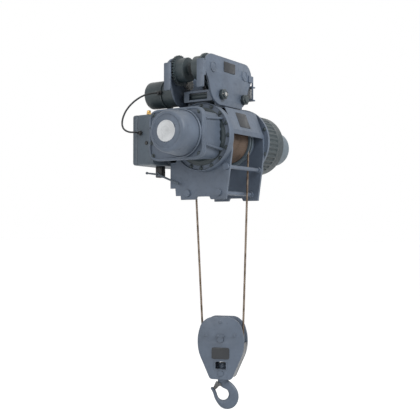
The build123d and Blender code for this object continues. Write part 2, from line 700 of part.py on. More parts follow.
def drum_guard():
    """The bent sheet over the drum's front, from under the deck to the drum's shoulder."""
    lip = 20.0
    thick = GUARD_THICKNESS
    points = [
        (GUARD_UPPER_Y + 30.0, DECK_BOTTOM),
        (GUARD_UPPER_Y, DECK_BOTTOM),
        (GUARD_LOWER_Y, GUARD_LOWER_Z),
        (GUARD_LOWER_Y, GUARD_LOWER_Z - lip),
        (GUARD_LOWER_Y + thick, GUARD_LOWER_Z - lip),
        (GUARD_LOWER_Y + thick, GUARD_LOWER_Z + 1.0),
        (GUARD_UPPER_Y + thick, GUARD_UPPER_Z),
        (GUARD_UPPER_Y + 30.0, GUARD_UPPER_Z),
    ]
    return slab_x(outline(points), FRAME_NEAR_INNER_X, FRAME_FAR_INNER_X)


def bare_plates():
    """The round disc on the gear cover and the bare plates on the trolley and the guard."""
    centre = (DRUM_Y, DRUM_Z)
    disc = rod_x(DOME_FRONT_X - COVER_DISC_THICKNESS, DOME_FRONT_X, centre, COVER_DISC_RADIUS)
    width, height = TROLLEY_PLATE_SIZE
    y = -PLATE_OUTER_Y
    low = TROLLEY_PLATE_Z - height / 2
    plate = block(-width / 2, width / 2, y - BARE_PLATE_THICKNESS, y, low, low + height)
    return [disc, plate, guard_plate()]


def guard_plate():
    """The bare plate on the guard's slope."""
    low = Vector(GUARD_LOWER_Y, GUARD_LOWER_Z)
    slope = (Vector(GUARD_UPPER_Y, DECK_BOTTOM) - low).normalized()
    length = (Vector(GUARD_UPPER_Y, DECK_BOTTOM) - low).length
    away = Vector(-slope.Y, slope.X) * BARE_PLATE_THICKNESS
    first = low + slope * GUARD_PLATE_MARGIN
    last = low + slope * (length - GUARD_PLATE_MARGIN)
    corners = [(point.X, point.Y) for point in (first, last, last + away, first + away)]
    return slab_x(outline(corners), GUARD_PLATE_X[0], GUARD_PLATE_X[1])


def drum_barrel():
    """The hollow barrel that the rope is wound on."""
    x0 = FRAME_NEAR_INNER_X + DRUM_MARGIN
    x1 = FRAME_FAR_INNER_X - DRUM_MARGIN
    return rod_x(x0, x1, (DRUM_Y, DRUM_Z), DRUM_RADIUS, DRUM_RADIUS - DRUM_WALL)


def drum_hubs():
    """The discs inside the barrel's ends, with the hollow journals that run in the bearings."""
    centre = (DRUM_Y, DRUM_Z)
    disc = DRUM_RADIUS - DRUM_WALL
    x0 = FRAME_NEAR_INNER_X + DRUM_MARGIN
    x1 = FRAME_FAR_INNER_X - DRUM_MARGIN
    near = rod_x(x0, x0 + HUB_FLANGE_THICKNESS, centre, disc)
    near += rod_x(SECOND_GEAR_X + SECOND_GEAR_WIDTH, x0, centre, HUB_RADIUS)
    near += rod_x(SECOND_GEAR_X, SECOND_GEAR_X + SECOND_GEAR_WIDTH, centre, GEAR_BORE)
    near -= rod_x(SECOND_GEAR_X, x0 + HUB_FLANGE_THICKNESS, centre, HUB_BORE)
    far = rod_x(x1 - HUB_FLANGE_THICKNESS, x1, centre, disc)
    far += rod_x(x1, MOTOR_START_X, centre, HUB_RADIUS)
    far -= rod_x(x1 - HUB_FLANGE_THICKNESS, MOTOR_START_X, centre, HUB_BORE)
    return [near, far]


def rope_winding():
    """The rope wound on the drum, as one scalloped sleeve."""
    place = Plane(origin=(0, DRUM_Y, DRUM_Z), x_dir=(1, 0, 0), z_dir=(0, -1, 0))
    steps = 6
    points = [(WINDING_START_X, DRUM_RADIUS)]
    for turn in range(WOUND_TURNS):
        x = WINDING_START_X + (turn + 0.5) * ROPE_PITCH
        for step in range(steps + 1):
            angle = math.pi * (1 - step / steps)
            reach = WINDING_RADIUS + ROPE_RADIUS * math.sin(angle)
            points.append((x + ROPE_RADIUS * math.cos(angle), reach))
    points.append((WINDING_END_X, DRUM_RADIUS))
    profile = place * outline(points)
    return revolve(profile, Axis((0, DRUM_Y, DRUM_Z), (1, 0, 0)))


def output_gear():
    """The large gear on the drum's near journal."""
    teeth = gear_face(SECOND_GEAR_TEETH, SECOND_MODULE, 180.0 / SECOND_GEAR_TEETH)
    place = Pos(DRUM_Y, DRUM_Z, 0) * teeth
    gear = slab_x(place, SECOND_GEAR_X, SECOND_GEAR_X + SECOND_GEAR_WIDTH)
    bore = GEAR_BORE + RUNNING_FIT
    return gear - rod_x(SECOND_GEAR_X, SECOND_GEAR_X + SECOND_GEAR_WIDTH, (DRUM_Y, DRUM_Z), bore)


def intermediate_shaft():
    """The shaft between the stages: its own pinion, and the large first-stage gear."""
    centre = (INTERMEDIATE_Y, DRUM_Z)
    shaft = rod_x(CASE_FRONT_X + CASE_COVER_THICKNESS + 1.0, CASE_REAR_X - 3.0, centre, INTERMEDIATE_RADIUS)
    teeth = Pos(INTERMEDIATE_Y, DRUM_Z, 0) * gear_face(SECOND_PINION_TEETH, SECOND_MODULE, 180.0)
    shaft += slab_x(teeth, SECOND_GEAR_X, SECOND_GEAR_X + SECOND_GEAR_WIDTH)
    angle = 180.0 + 180.0 / FIRST_GEAR_TEETH
    teeth = Pos(INTERMEDIATE_Y, DRUM_Z, 0) * gear_face(FIRST_GEAR_TEETH, FIRST_MODULE, angle)
    x1 = FIRST_GEAR_X + FIRST_GEAR_WIDTH
    gear = slab_x(teeth, FIRST_GEAR_X, x1)
    return [shaft, gear - rod_x(FIRST_GEAR_X, x1, centre, INTERMEDIATE_RADIUS + RUNNING_FIT)]


def motor_shaft():
    """The long shaft from the brake through the hollow drum to the first pinion."""
    centre = (DRUM_Y, DRUM_Z)
    shoulder = SECOND_GEAR_X - 4.0
    shaft = rod_x(shoulder, MOTOR_SHAFT_END_X, centre, MOTOR_SHAFT_RADIUS)
    shaft += rod_x(MOTOR_SHAFT_NOSE_X, shoulder, centre, MOTOR_SHAFT_NOSE_RADIUS)
    teeth = Pos(DRUM_Y, DRUM_Z, 0) * gear_face(FIRST_PINION_TEETH, FIRST_MODULE, 0.0)
    return shaft + slab_x(teeth, FIRST_GEAR_X - 1.0, FIRST_GEAR_X + FIRST_GEAR_WIDTH + 1.0)


def bearing(x0, x1, centre, bore, outer):
    """A bearing as one ring: its bore runs on the shaft and its outside sits in the housing."""
    return rod_x(x0, x1, centre, outer, bore + RUNNING_FIT)


def bearings():
    """The bearings of the drum, the intermediate shaft and the motor shaft."""
    drum = (DRUM_Y, DRUM_Z)
    middle = (INTERMEDIATE_Y, DRUM_Z)
    cover = CASE_FRONT_X + CASE_COVER_THICKNESS
    rear = CASE_REAR_X - 2.0
    nose_end = MOTOR_SHAFT_NOSE_X + SHAFT_BEARING_WIDTH
    shield_end = MOTOR_SHIELD_X + MOTOR_SHIELD_THICKNESS
    return [
        bearing(FRAME_NEAR_X - DRUM_BEARING_WIDTH, FRAME_NEAR_X, drum, HUB_RADIUS, DRUM_BEARING_RADIUS),
        bearing(FRAME_FAR_X, MOTOR_START_X, drum, HUB_RADIUS, DRUM_BEARING_RADIUS),
        bearing(cover, cover + SHAFT_BEARING_WIDTH, middle, INTERMEDIATE_RADIUS, SHAFT_BEARING_RADIUS),
        bearing(rear - SHAFT_BEARING_WIDTH, rear, middle, INTERMEDIATE_RADIUS, SHAFT_BEARING_RADIUS),
        bearing(MOTOR_SHAFT_NOSE_X, nose_end, drum, MOTOR_SHAFT_NOSE_RADIUS, SHAFT_BEARING_RADIUS),
        bearing(MOTOR_SHIELD_X, shield_end, drum, MOTOR_SHAFT_RADIUS, MOTOR_BEARING_RADIUS),
        bearing(MOTOR_END_X, MOTOR_END_X + END_WALL, drum, MOTOR_SHAFT_RADIUS, MOTOR_BEARING_RADIUS),
    ]


def case_face(inset, corner):
    """The gear case's round-cornered outline in Y and Z, smaller by an inset."""
    width = CASE_BACK_Y - CASE_FRONT_Y - 2 * inset
    height = 2 * (CASE_HALF_HEIGHT - inset)
    middle = (CASE_BACK_Y + CASE_FRONT_Y) / 2
    return Pos(middle, DRUM_Z, 0) * rounded(width, height, corner)


def gear_case_body():
    """The gear case: an open-fronted box with a rim, and the round flange on the frame."""
    drum = (DRUM_Y, DRUM_Z)
    front = CASE_FRONT_X + CASE_COVER_THICKNESS
    body = slab_x(case_face(0.0, CASE_CORNER), front, front + CASE_RIM_THICKNESS)
    body += slab_x(case_face(CASE_BODY_INSET, CASE_BODY_CORNER), front, CASE_REAR_X)
    body += rod_x(CASE_REAR_X, FRAME_NEAR_X, drum, CASE_FLANGE_RADIUS)
    inner = CASE_BODY_INSET + CASE_WALL
    wall = CASE_REAR_X - 2.0 - SHAFT_BEARING_WIDTH
    body -= slab_x(case_face(inner, CASE_BODY_CORNER - CASE_WALL), front, wall)
    body -= rod_x(wall, FRAME_NEAR_X, drum, HUB_RADIUS + 3.0)
    body -= rod_x(FRAME_NEAR_X - DRUM_BEARING_WIDTH, FRAME_NEAR_X, drum, DRUM_BEARING_RADIUS + SEAT)
    return body - rod_x(wall, CASE_REAR_X - 2.0, (INTERMEDIATE_Y, DRUM_Z), SHAFT_BEARING_RADIUS + SEAT)


def gear_case_cover():
    """The near cover: a flat flange with a round dome, and bosses for the bearings."""
    drum = (DRUM_Y, DRUM_Z)
    back = CASE_FRONT_X + CASE_COVER_THICKNESS
    cover = slab_x(case_face(0.0, CASE_CORNER), CASE_FRONT_X, back)
    length = CASE_FRONT_X - DOME_FRONT_X
    place = Plane(origin=(CASE_FRONT_X, DRUM_Y, DRUM_Z), z_dir=(-1, 0, 0))
    lift = (Align.CENTER, Align.CENTER, Align.MIN)
    dome = place * Cone(DOME_BASE_RADIUS, DOME_RADIUS, length, align=lift)
    front_rim = dome.edges().filter_by(GeomType.CIRCLE).sort_by(Axis.X)[0]
    dome = fillet(front_rim, 9.0)
    cover += dome
    inner = DOME_BASE_RADIUS - DOME_WALL
    cover -= place * Cone(inner, DOME_RADIUS - DOME_WALL, length - DOME_WALL, align=lift)
    cover -= rod_x(CASE_FRONT_X, back, drum, inner)
    boss = SHAFT_BEARING_RADIUS + BEARING_BOSS_WALL
    seat = SHAFT_BEARING_RADIUS + SEAT
    boss_end = MOTOR_SHAFT_NOSE_X + SHAFT_BEARING_WIDTH
    cover += rod_x(DOME_FRONT_X + DOME_WALL, boss_end, drum, boss)
    cover -= rod_x(MOTOR_SHAFT_NOSE_X - 4.0, boss_end, drum, seat)
    middle = (INTERMEDIATE_Y, DRUM_Z)
    cover += rod_x(CASE_FRONT_X, back + SHAFT_BEARING_WIDTH, middle, boss)
    return cover - rod_x(back, back + SHAFT_BEARING_WIDTH, middle, seat)


def case_screw_places():
    """The places of the gear cover's screws, in Y and Z."""
    low_y = CASE_FRONT_Y + SCREW_INSET
    high_y = CASE_BACK_Y - SCREW_INSET
    reach = CASE_HALF_HEIGHT - SCREW_INSET
    corner = CASE_CORNER - SCREW_INSET
    bend = corner * (1 - math.cos(math.pi / 4))
    places = []
    for side in (-1, 1):
        places.append((low_y + bend, DRUM_Z + side * (reach - bend)))
        places.append((high_y - bend, DRUM_Z + side * (reach - bend)))
        places.append((high_y, DRUM_Z + side * reach / 3))
    return places


def case_screws():
    """Heads of the screws in the gear cover, the round flange, the far flange and the lid."""
    pieces = []
    for place in case_screw_places():
        pieces.append(rod_x(CASE_FRONT_X - SCREW_HEAD_HEIGHT, CASE_FRONT_X, place, SCREW_HEAD_RADIUS))
    for number in range(FLANGE_SCREW_COUNT):
        angle = 360.0 * number / FLANGE_SCREW_COUNT
        if min(angle, 360.0 - angle) > FLANGE_SCREW_BLOCKED:
            place = polar((DRUM_Y, DRUM_Z), FLANGE_SCREW_RADIUS, angle)
            pieces.append(rod_x(CASE_REAR_X - SCREW_HEAD_HEIGHT, CASE_REAR_X, place, SCREW_HEAD_RADIUS))
    for number in range(FAR_SCREW_COUNT):
        angle = 360.0 * (number + 0.5) / FAR_SCREW_COUNT
        place = polar((DRUM_Y, DRUM_Z), FAR_FLANGE_RADIUS - FAR_SCREW_INSET, angle)
        pieces.append(rod_x(MOTOR_START_X, MOTOR_START_X + SCREW_HEAD_HEIGHT, place, SCREW_HEAD_RADIUS))
    for x, z in lid_screw_places():
        outer = LID_Y + LID_DEPTH
        pieces.append(rod_y(outer, outer + SCREW_HEAD_HEIGHT, (x, z), SCREW_HEAD_RADIUS))
    return pieces


def lid_screw_places():
    """The places of the lid's screws, in X and Z."""
    x0 = BOX_FRONT_X + LID_SCREW_INSET
    x1 = BOX_FRONT_X + BOX_LENGTH - LID_SCREW_INSET
    return [(x, z) for x in (x0, x1) for z in (BOX_BOTTOM + LID_SCREW_INSET, BOX_TOP - LID_SCREW_INSET)]


def far_flange():
    """The round flange between the far frame plate and the motor."""
    bore = DRUM_BEARING_RADIUS + SEAT
    flange = rod_x(FRAME_FAR_X, MOTOR_START_X, (DRUM_Y, DRUM_Z), FAR_FLANGE_RADIUS, bore)
    for place in TIE_ROD_PLACES:
        flange -= rod_x(FRAME_FAR_X, MOTOR_START_X, place, TIE_ROD_NUT_RADIUS + 2.0)
    return flange


def motor_housing():
    """The hoist motor's shell with lengthwise cooling fins."""
    centre = (DRUM_Y, DRUM_Z)
    shell = rod_x(MOTOR_START_X, MOTOR_END_X, centre, MOTOR_SHELL_RADIUS)
    fins = []
    root = MOTOR_SHELL_RADIUS - FIN_ROOT
    x0 = MOTOR_START_X + FIN_START
    x1 = MOTOR_END_X - FIN_END_SPACE
    tip = MOTOR_SHELL_RADIUS + FIN_HEIGHT
    half = FIN_THICKNESS / 2
    for number in range(FIN_COUNT):
        turn = Pos(0, DRUM_Y, DRUM_Z) * Rot(360.0 * number / FIN_COUNT, 0, 0)
        fins.append(turn * block(x0, x1, root, tip, -half, half))
    shell = shell.fuse(*fins)
    return shell - rod_x(MOTOR_START_X, MOTOR_END_X, centre, MOTOR_SHELL_BORE)


def motor_shields():
    """The front shield inside the shell, and the end ring with the rear bearing's wall."""
    centre = (DRUM_Y, DRUM_Z)
    seat = MOTOR_BEARING_RADIUS + SEAT
    shield_end = MOTOR_SHIELD_X + MOTOR_SHIELD_THICKNESS
    front = rod_x(MOTOR_SHIELD_X, shield_end, centre, MOTOR_SHELL_BORE - SEAT, seat)
    ring = rod_x(MOTOR_END_X, END_RING_END_X, centre, END_RING_RADIUS, END_RING_BORE)
    ring += rod_x(MOTOR_END_X, MOTOR_END_X + END_WALL, centre, END_RING_BORE, seat)
    return [front, ring]


def stator():
    """The laminated core in the shell, with the end turns of its winding."""
    centre = (DRUM_Y, DRUM_Z)
    core = rod_x(STATOR_X, STATOR_X + STATOR_LENGTH, centre, MOTOR_SHELL_BORE - SEAT, STATOR_BORE)
    pieces = [core]
    for x in (STATOR_X - END_TURN_WIDTH, STATOR_X + STATOR_LENGTH):
        outer = END_TURN_RADIUS + END_TURN_THICKNESS
        pieces.append(rod_x(x, x + END_TURN_WIDTH, centre, outer, END_TURN_RADIUS))
    return pieces


def rotor_core():
    """The rotor on the long shaft."""
    bore = MOTOR_SHAFT_RADIUS + RUNNING_FIT
    return rod_x(STATOR_X, STATOR_X + STATOR_LENGTH, (DRUM_Y, DRUM_Z), STATOR_BORE - AIR_GAP, bore)


def brake_disc():
    """The brake's friction disc on the long shaft."""
    x0 = MOTOR_END_X + END_WALL + BRAKE_DISC_GAP
    bore = MOTOR_SHAFT_RADIUS + RUNNING_FIT
    return rod_x(x0, x0 + BRAKE_DISC_THICKNESS, (DRUM_Y, DRUM_Z), BRAKE_DISC_RADIUS, bore)


def brake_magnet():
    """The brake's magnet body, seated in the end ring behind the disc."""
    centre = (DRUM_Y, DRUM_Z)
    x0 = MOTOR_END_X + END_WALL + 2 * BRAKE_DISC_GAP + BRAKE_DISC_THICKNESS
    body = rod_x(x0, END_RING_END_X, centre, END_RING_BORE - SEAT)
    body += rod_x(END_RING_END_X, END_RING_END_X + BRAKE_MAGNET_LENGTH, centre, BRAKE_MAGNET_RADIUS)
    return body - rod_x(x0, END_RING_END_X + BRAKE_MAGNET_LENGTH, centre, MOTOR_SHAFT_RADIUS + 3.0)


def motor_end_cap():
    """The domed cap over the brake."""
    centre = (DRUM_Y, DRUM_Z)
    start = END_RING_END_X
    cap = rod_x(start, start + END_CAP_LENGTH, centre, END_CAP_RADIUS)
    cap = fillet(last_rim(cap, Axis.X), END_CAP_ROUNDING)
    hollow = rod_x(start, start + END_CAP_LENGTH - END_CAP_WALL, centre, END_CAP_RADIUS - END_CAP_WALL)
    hollow = fillet(last_rim(hollow, Axis.X), END_CAP_ROUNDING - END_CAP_WALL)
    flange = rod_x(start, start + END_CAP_FLANGE_THICKNESS, centre, END_CAP_FLANGE_RADIUS)
    return cap + flange - hollow


def rope_guide():
    """The ring that lays the rope on the drum, slotted for the fall and lugged onto its rod."""
    centre = (DRUM_Y, DRUM_Z)
    inner = WINDING_RADIUS + ROPE_RADIUS + GUIDE_CLEARANCE
    x0 = DRUM_FALL_X - GUIDE_WIDTH / 2
    x1 = x0 + GUIDE_WIDTH
    ring = rod_x(x0, x1, centre, inner + GUIDE_WALL)
    ring += rod_x(x0, x1, guide_rod_place(), GUIDE_LUG_RADIUS)
    ring -= rod_x(x0, x1, centre, inner)
    ring -= rod_x(x0, x1, guide_rod_place(), GUIDE_ROD_RADIUS + RUNNING_FIT)
    fall_y = DRUM_Y - WINDING_RADIUS
    slot_y = (fall_y - 22.0, fall_y + 13.0)
    slot_x = (DRUM_FALL_X - GUIDE_SLOT, DRUM_FALL_X + GUIDE_SLOT)
    return ring - block(slot_x[0], slot_x[1], slot_y[0], slot_y[1], DRUM_Z - 70.0, DRUM_Z + 12.0)


def box_face(inset):
    """The control box's outline in X and Z."""
    width = BOX_LENGTH - 2 * inset
    height = BOX_TOP - BOX_BOTTOM - 2 * inset
    place = Pos(BOX_FRONT_X + BOX_LENGTH / 2, (BOX_TOP + BOX_BOTTOM) / 2, 0)
    return place * rounded(width, height, BOX_CORNER - inset)


def gland_place():
    """The cable gland's centre on the box, in Y and Z."""
    return (CABLE_ROUTE[-1][1], CABLE_ROUTE[-1][2])


def control_box():
    """The control box, open towards its lid, with the two brackets to the frame plates."""
    box = slab_y(box_face(0.0), BOX_INNER_Y, LID_Y)
    box -= slab_y(box_face(BOX_WALL), BOX_INNER_Y + BOX_WALL, LID_Y)
    box -= rod_x(BOX_FRONT_X, BOX_FRONT_X + BOX_WALL, gland_place(), GLAND_RADIUS * 0.6)
    x = FRAME_NEAR_INNER_X
    overlap = FRAME_EAR_Y - BOX_BRACKET_OVERLAP
    low = DRUM_Z - BOX_BRACKET_DROP
    box += block(x, x + BOX_BRACKET_THICKNESS, overlap, BOX_INNER_Y, low, low + BOX_BRACKET_HEIGHT)
    return box


def control_box_lid():
    """The lid, a shallow tray that closes the box."""
    lid = slab_y(box_face(0.0), LID_Y, LID_Y + LID_DEPTH)
    rim = lid.faces().sort_by(Axis.Y)[-1].edges()
    lid = fillet(rim, LID_ROUNDING)
    return lid - slab_y(box_face(BOX_WALL), LID_Y, LID_Y + LID_DEPTH - BOX_WALL)


def control_gear():
    """The mounting plate in the box with its row of contactors."""
    margin = GEAR_PLATE_MARGIN
    gap = CONTACTOR_GAP
    x0 = BOX_FRONT_X + margin
    x1 = BOX_FRONT_X + BOX_LENGTH - margin
    y0 = BOX_INNER_Y + BOX_WALL
    y1 = y0 + GEAR_PLATE_THICKNESS
    pieces = [block(x0, x1, y0, y1, BOX_BOTTOM + margin, BOX_TOP - margin)]
    step = (x1 - x0 - gap) / CONTACTOR_COUNT
    low = (BOX_TOP + BOX_BOTTOM - CONTACTOR_HEIGHT) / 2
    for number in range(CONTACTOR_COUNT):
        x = x0 + gap + number * step
        pieces.append(block(x, x + step - gap, y1, y1 + CONTACTOR_DEPTH, low, low + CONTACTOR_HEIGHT))
    return pieces


def gland(start, direction, length):
    """A cable gland: a hexagon against the wall and a round cap that its cable meets."""
    place = Plane(origin=start, z_dir=direction)
    hexagon = extrude(place * RegularPolygon(GLAND_RADIUS, 6), length * 0.4)
    return hexagon + rod(start, direction, length, GLAND_RADIUS * 0.8)


def cable_glands():
    """The glands at both ends of the traverse cable, the brass one on top, and a blanking plug."""
    y, z = gland_place()
    box_end = gland((BOX_FRONT_X, y, z), (-1, 0, 0), GLAND_LENGTH)
    x, y, z = CABLE_ROUTE[0]
    direction = Vector(CABLE_ROUTE[1]) - Vector(CABLE_ROUTE[0])
    level = direction.normalized()
    wall = Vector(x, y, z) - level * MOTOR_GLAND_LENGTH
    motor_end = gland(wall, level, MOTOR_GLAND_LENGTH)
    shell_end = REDUCER_END_Y + TRAVERSE_MOTOR_LENGTH
    motor_end -= rod_y(REDUCER_END_Y, shell_end, TRAVERSE_MOTOR_PLACE, TRAVERSE_MOTOR_RADIUS + SEAT)
    motor_end -= rod_y(REDUCER_START_Y, REDUCER_END_Y, TRAVERSE_MOTOR_PLACE, REDUCER_CASE_RADIUS + SEAT)
    x, y = TOP_GLAND_PLACE
    top = gland((x, y, BOX_TOP), (0, 0, 1), TOP_GLAND_LENGTH)
    plug = rod_x(BOX_FRONT_X - 5.0, BOX_FRONT_X, PLUG_PLACE, 8.0)
    return [box_end, motor_end, top, plug]


def corner_radii(points):
    """The bend radius at each inner point: 0.45 of the shorter run over the tangent of half the turn."""
    radii = []
    for before, here, after in zip(points, points[1:], points[2:]):
        first = Vector(here) - Vector(before)
        second = Vector(after) - Vector(here)
        turn = math.radians(first.get_angle(second))
        radii.append(0.45 * min(first.length, second.length) / math.tan(turn / 2))
    return radii


def traverse_cable():
    """The cable from the trolley drive's gland to the control box's gland."""
    radii = corner_radii(CABLE_ROUTE)
    print("cable bend radii", [round(radius, 1) for radius in radii])
    path = FilletPolyline(*CABLE_ROUTE, radius=radii)
    start = Plane(origin=path @ 0, z_dir=path % 0)
    cable = sweep(start * Circle(CABLE_RADIUS), path=path)
    section = math.pi * CABLE_RADIUS ** 2
    ratio = cable.volume / (path.length * section)
    print("cable length", round(path.length, 1), "volume ratio", round(ratio, 4))
    return cable


def limit_switch():
    """The limit switch under the control box, with the pin that carries its lever."""
    y, z = LEVER_HUB
    x = LEVER_X + LEVER_THICKNESS / 2
    body = block(x + 3.0, x + 33.0, y - 17.0, y + 17.0, z - 14.0, BOX_BOTTOM)
    return body + rod_x(x - LEVER_THICKNESS - 3.0, x + 3.0, (y, z), LEVER_PIN_RADIUS)


def limit_lever():
    """The lever that the rising block lifts: a bent arm on a hub."""
    x0 = LEVER_X - LEVER_THICKNESS / 2
    x1 = LEVER_X + LEVER_THICKNESS / 2
    half = LEVER_WIDTH / 2
    y, z = LEVER_HUB
    arm = rod_x(x0, x1, (y, z), LEVER_HUB_RADIUS)
    for end_y, end_z in (LEVER_BACK, LEVER_TIP):
        points = [(y, z - half), (end_y, end_z - half), (end_y, end_z + half), (y, z + half)]
        arm += slab_x(outline(points), x0, x1)
    return arm - rod_x(x0, x1, (y, z), LEVER_PIN_RADIUS + RUNNING_FIT)


def reducer_face(inset):
    """The trolley gearbox's outline in X and Z, round both of its shafts."""
    low = Pos(TRAVERSE_MOTOR_PLACE[0], TRAVERSE_MOTOR_PLACE[1], 0) * Circle(REDUCER_CASE_RADIUS - inset)
    high = Pos(DRIVE_PINION_PLACE[0], DRIVE_PINION_PLACE[1], 0) * Circle(REDUCER_OUTPUT_RADIUS - inset)
    return low + high


def traverse_gearbox():
    """The trolley drive's gearbox on the back side plate, with its shaft holes."""
    case = slab_y(reducer_face(0.0), REDUCER_START_Y, REDUCER_END_Y)
    case -= slab_y(reducer_face(REDUCER_WALL), REDUCER_START_Y + REDUCER_WALL, REDUCER_END_Y - REDUCER_WALL)
    bore = DRIVE_SHAFT_RADIUS + RUNNING_FIT
    case -= rod_y(REDUCER_START_Y, REDUCER_START_Y + REDUCER_WALL, DRIVE_PINION_PLACE, bore)
    bore = TRAVERSE_SHAFT_RADIUS + RUNNING_FIT
    return case - rod_y(REDUCER_END_Y - REDUCER_WALL, REDUCER_END_Y, TRAVERSE_MOTOR_PLACE, bore)


def traverse_motor_housing():
    """The trolley motor's shell with its rounded outer end."""
    y0 = REDUCER_END_Y
    y1 = y0 + TRAVERSE_MOTOR_LENGTH
    shell = rod_y(y0, y1, TRAVERSE_MOTOR_PLACE, TRAVERSE_MOTOR_RADIUS)
    shell = fillet(last_rim(shell, Axis.Y), TRAVERSE_MOTOR_ROUNDING)
    bore = TRAVERSE_MOTOR_RADIUS - TRAVERSE_MOTOR_WALL
    end = y1 - TRAVERSE_MOTOR_WALL - TRAVERSE_MOTOR_ROUNDING / 2
    return shell - rod_y(y0, end, TRAVERSE_MOTOR_PLACE, bore)


def traverse_stator():
    """The trolley motor's stator core."""
    y0 = REDUCER_END_Y + TRAVERSE_STATOR_INSET
    outer = TRAVERSE_MOTOR_RADIUS - TRAVERSE_MOTOR_WALL - SEAT
    return rod_y(y0, y0 + TRAVERSE_STATOR_LENGTH, TRAVERSE_MOTOR_PLACE, outer, TRAVERSE_STATOR_BORE)


def drive_shaft():
    """The trolley drive's output shaft: the pinion at the wheel and the gear in the gearbox."""
    angle = DRIVE_ANGLE + 180.0 + 180.0 / DRIVE_PINION_TEETH
    place = Pos(DRIVE_PINION_PLACE[0], DRIVE_PINION_PLACE[1], 0)
    y0 = WHEEL_FLANGE_Y
    shaft = slab_y(place * gear_face(DRIVE_PINION_TEETH, DRIVE_MODULE, angle), y0, y0 + DRIVE_GEAR_WIDTH)
    gear_y = REDUCER_START_Y + REDUCER_WALL + 4.0
    shaft += rod_y(y0 + DRIVE_GEAR_WIDTH, gear_y, DRIVE_PINION_PLACE, DRIVE_SHAFT_RADIUS)
    teeth = gear_face(REDUCER_GEAR_TEETH, REDUCER_MODULE, REDUCER_ANGLE)
    return shaft + slab_y(place * teeth, gear_y, gear_y + REDUCER_GEAR_WIDTH)


def traverse_rotor():
    """The trolley motor's rotor and its shaft with the pinion."""
    gear_y = REDUCER_START_Y + REDUCER_WALL + 4.0
    angle = REDUCER_ANGLE + 180.0 + 180.0 / REDUCER_PINION_TEETH
    place = Pos(TRAVERSE_MOTOR_PLACE[0], TRAVERSE_MOTOR_PLACE[1], 0)
    teeth = gear_face(REDUCER_PINION_TEETH, REDUCER_MODULE, angle)
    rotor = slab_y(place * teeth, gear_y, gear_y + REDUCER_GEAR_WIDTH)
    stator_y = REDUCER_END_Y + TRAVERSE_STATOR_INSET
    end = stator_y + TRAVERSE_STATOR_LENGTH
    rotor += rod_y(gear_y + REDUCER_GEAR_WIDTH, end + 12.0, TRAVERSE_MOTOR_PLACE, TRAVERSE_SHAFT_RADIUS)
    return rotor + rod_y(stator_y, end, TRAVERSE_MOTOR_PLACE, TRAVERSE_STATOR_BORE - AIR_GAP)


def fall(top, bottom):
    """A straight stretch of rope between two points."""
    along = Vector(bottom) - Vector(top)
    return rod(top, along, along.length, ROPE_RADIUS)


def sheave_side(side):
    """Where a fall meets the half turn on the sheave, on the side given as 1 or -1."""
    turn = math.radians(BLOCK_TURN)
    x = BLOCK_X - side * SHEAVE_PITCH_RADIUS * math.sin(turn)
    y = BLOCK_Y + side * SHEAVE_PITCH_RADIUS * math.cos(turn)
    return (x, y, SHEAVE_Z + SEAT)


def cheek_face():
    """A block cheek's outline across the sheave: a round-shouldered shield."""
    half = [
        (CHEEK_WAIST - 53.0, CHEEK_TOP),
        (CHEEK_WAIST - 17.0, CHEEK_TOP - 28.0),
        (CHEEK_WAIST - 3.0, 22.0),
        (CHEEK_WAIST, -14.0),
        (CHEEK_WAIST - 6.0, -62.0),
        (CHEEK_FOOT, CHEEK_BOTTOM),
    ]
    points = [(s, SHEAVE_Z + z) for s, z in half]
    points += [(-s, z) for s, z in reversed(points)]
    return fillet(outline(points).vertices(), 16.0)


def cheek_window():
    """The window in a cheek, between the bare plate and the crosshead's trunnion."""
    wide = CHEEK_WINDOW_HALF_WIDTH
    low = CROSSHEAD_Z + TRUNNION_RADIUS + RUNNING_FIT + CHEEK_THICKNESS / 2
    high = low + CHEEK_WINDOW_HEIGHT
    points = [(-wide, low), (wide, low), (wide, high), (-wide, high)]
    return fillet(outline(points).vertices(), CHEEK_WINDOW_CORNER)


def block_cheeks():
    """The two cheeks, with a window each, and holes for the sheave's axle and the crosshead's trunnions."""
    pieces = []
    for low in (-CHEEK_INNER - CHEEK_THICKNESS, CHEEK_INNER):
        cheek = slab_x(cheek_face(), low, low + CHEEK_THICKNESS)
        cheek -= rod_x(low, low + CHEEK_THICKNESS, (0, SHEAVE_Z), SHEAVE_AXLE_RADIUS + SEAT)
        cheek -= rod_x(low, low + CHEEK_THICKNESS, (0, CROSSHEAD_Z), TRUNNION_RADIUS + RUNNING_FIT)
        cheek -= slab_x(cheek_window(), low, low + CHEEK_THICKNESS)
        pieces.append(turned_block(cheek))
    for side in (-1, 1):
        spacer = rod_x(-CHEEK_INNER, CHEEK_INNER, (side * SPACER_S, SPACER_Z), SPACER_RADIUS)
        pieces.append(turned_block(spacer))
        thick = SIDE_GUARD_THICKNESS
        points = [(side * s, z) for s, z in SIDE_GUARD_LINE]
        points += [(side * (s - thick), z) for s, z in reversed(SIDE_GUARD_LINE)]
        pieces.append(turned_block(slab_x(outline(points), -CHEEK_INNER, CHEEK_INNER)))
    return pieces


def block_plate():
    """The bare plate on the block's near cheek."""
    width, height = BLOCK_PLATE_SIZE
    low = SHEAVE_Z - BLOCK_PLATE_DROP - height / 2
    x = -CHEEK_INNER - CHEEK_THICKNESS
    return turned_block(block(x - BARE_PLATE_THICKNESS, x, -width / 2, width / 2, low, low + height))


def sheave_axle():
    """The axle through both cheeks, with its collars beside the sheave's hub."""
    end = CHEEK_INNER + CHEEK_THICKNESS + 4.0
    axle = rod_x(-end, end, (0, SHEAVE_Z), SHEAVE_AXLE_RADIUS)
    hub = SHEAVE_WIDTH / 2 + SEAT
    for low, high in ((-CHEEK_INNER, -hub), (hub, CHEEK_INNER)):
        axle += rod_x(low, high, (0, SHEAVE_Z), SHEAVE_AXLE_RADIUS + 6.0)
    return turned_block(axle)


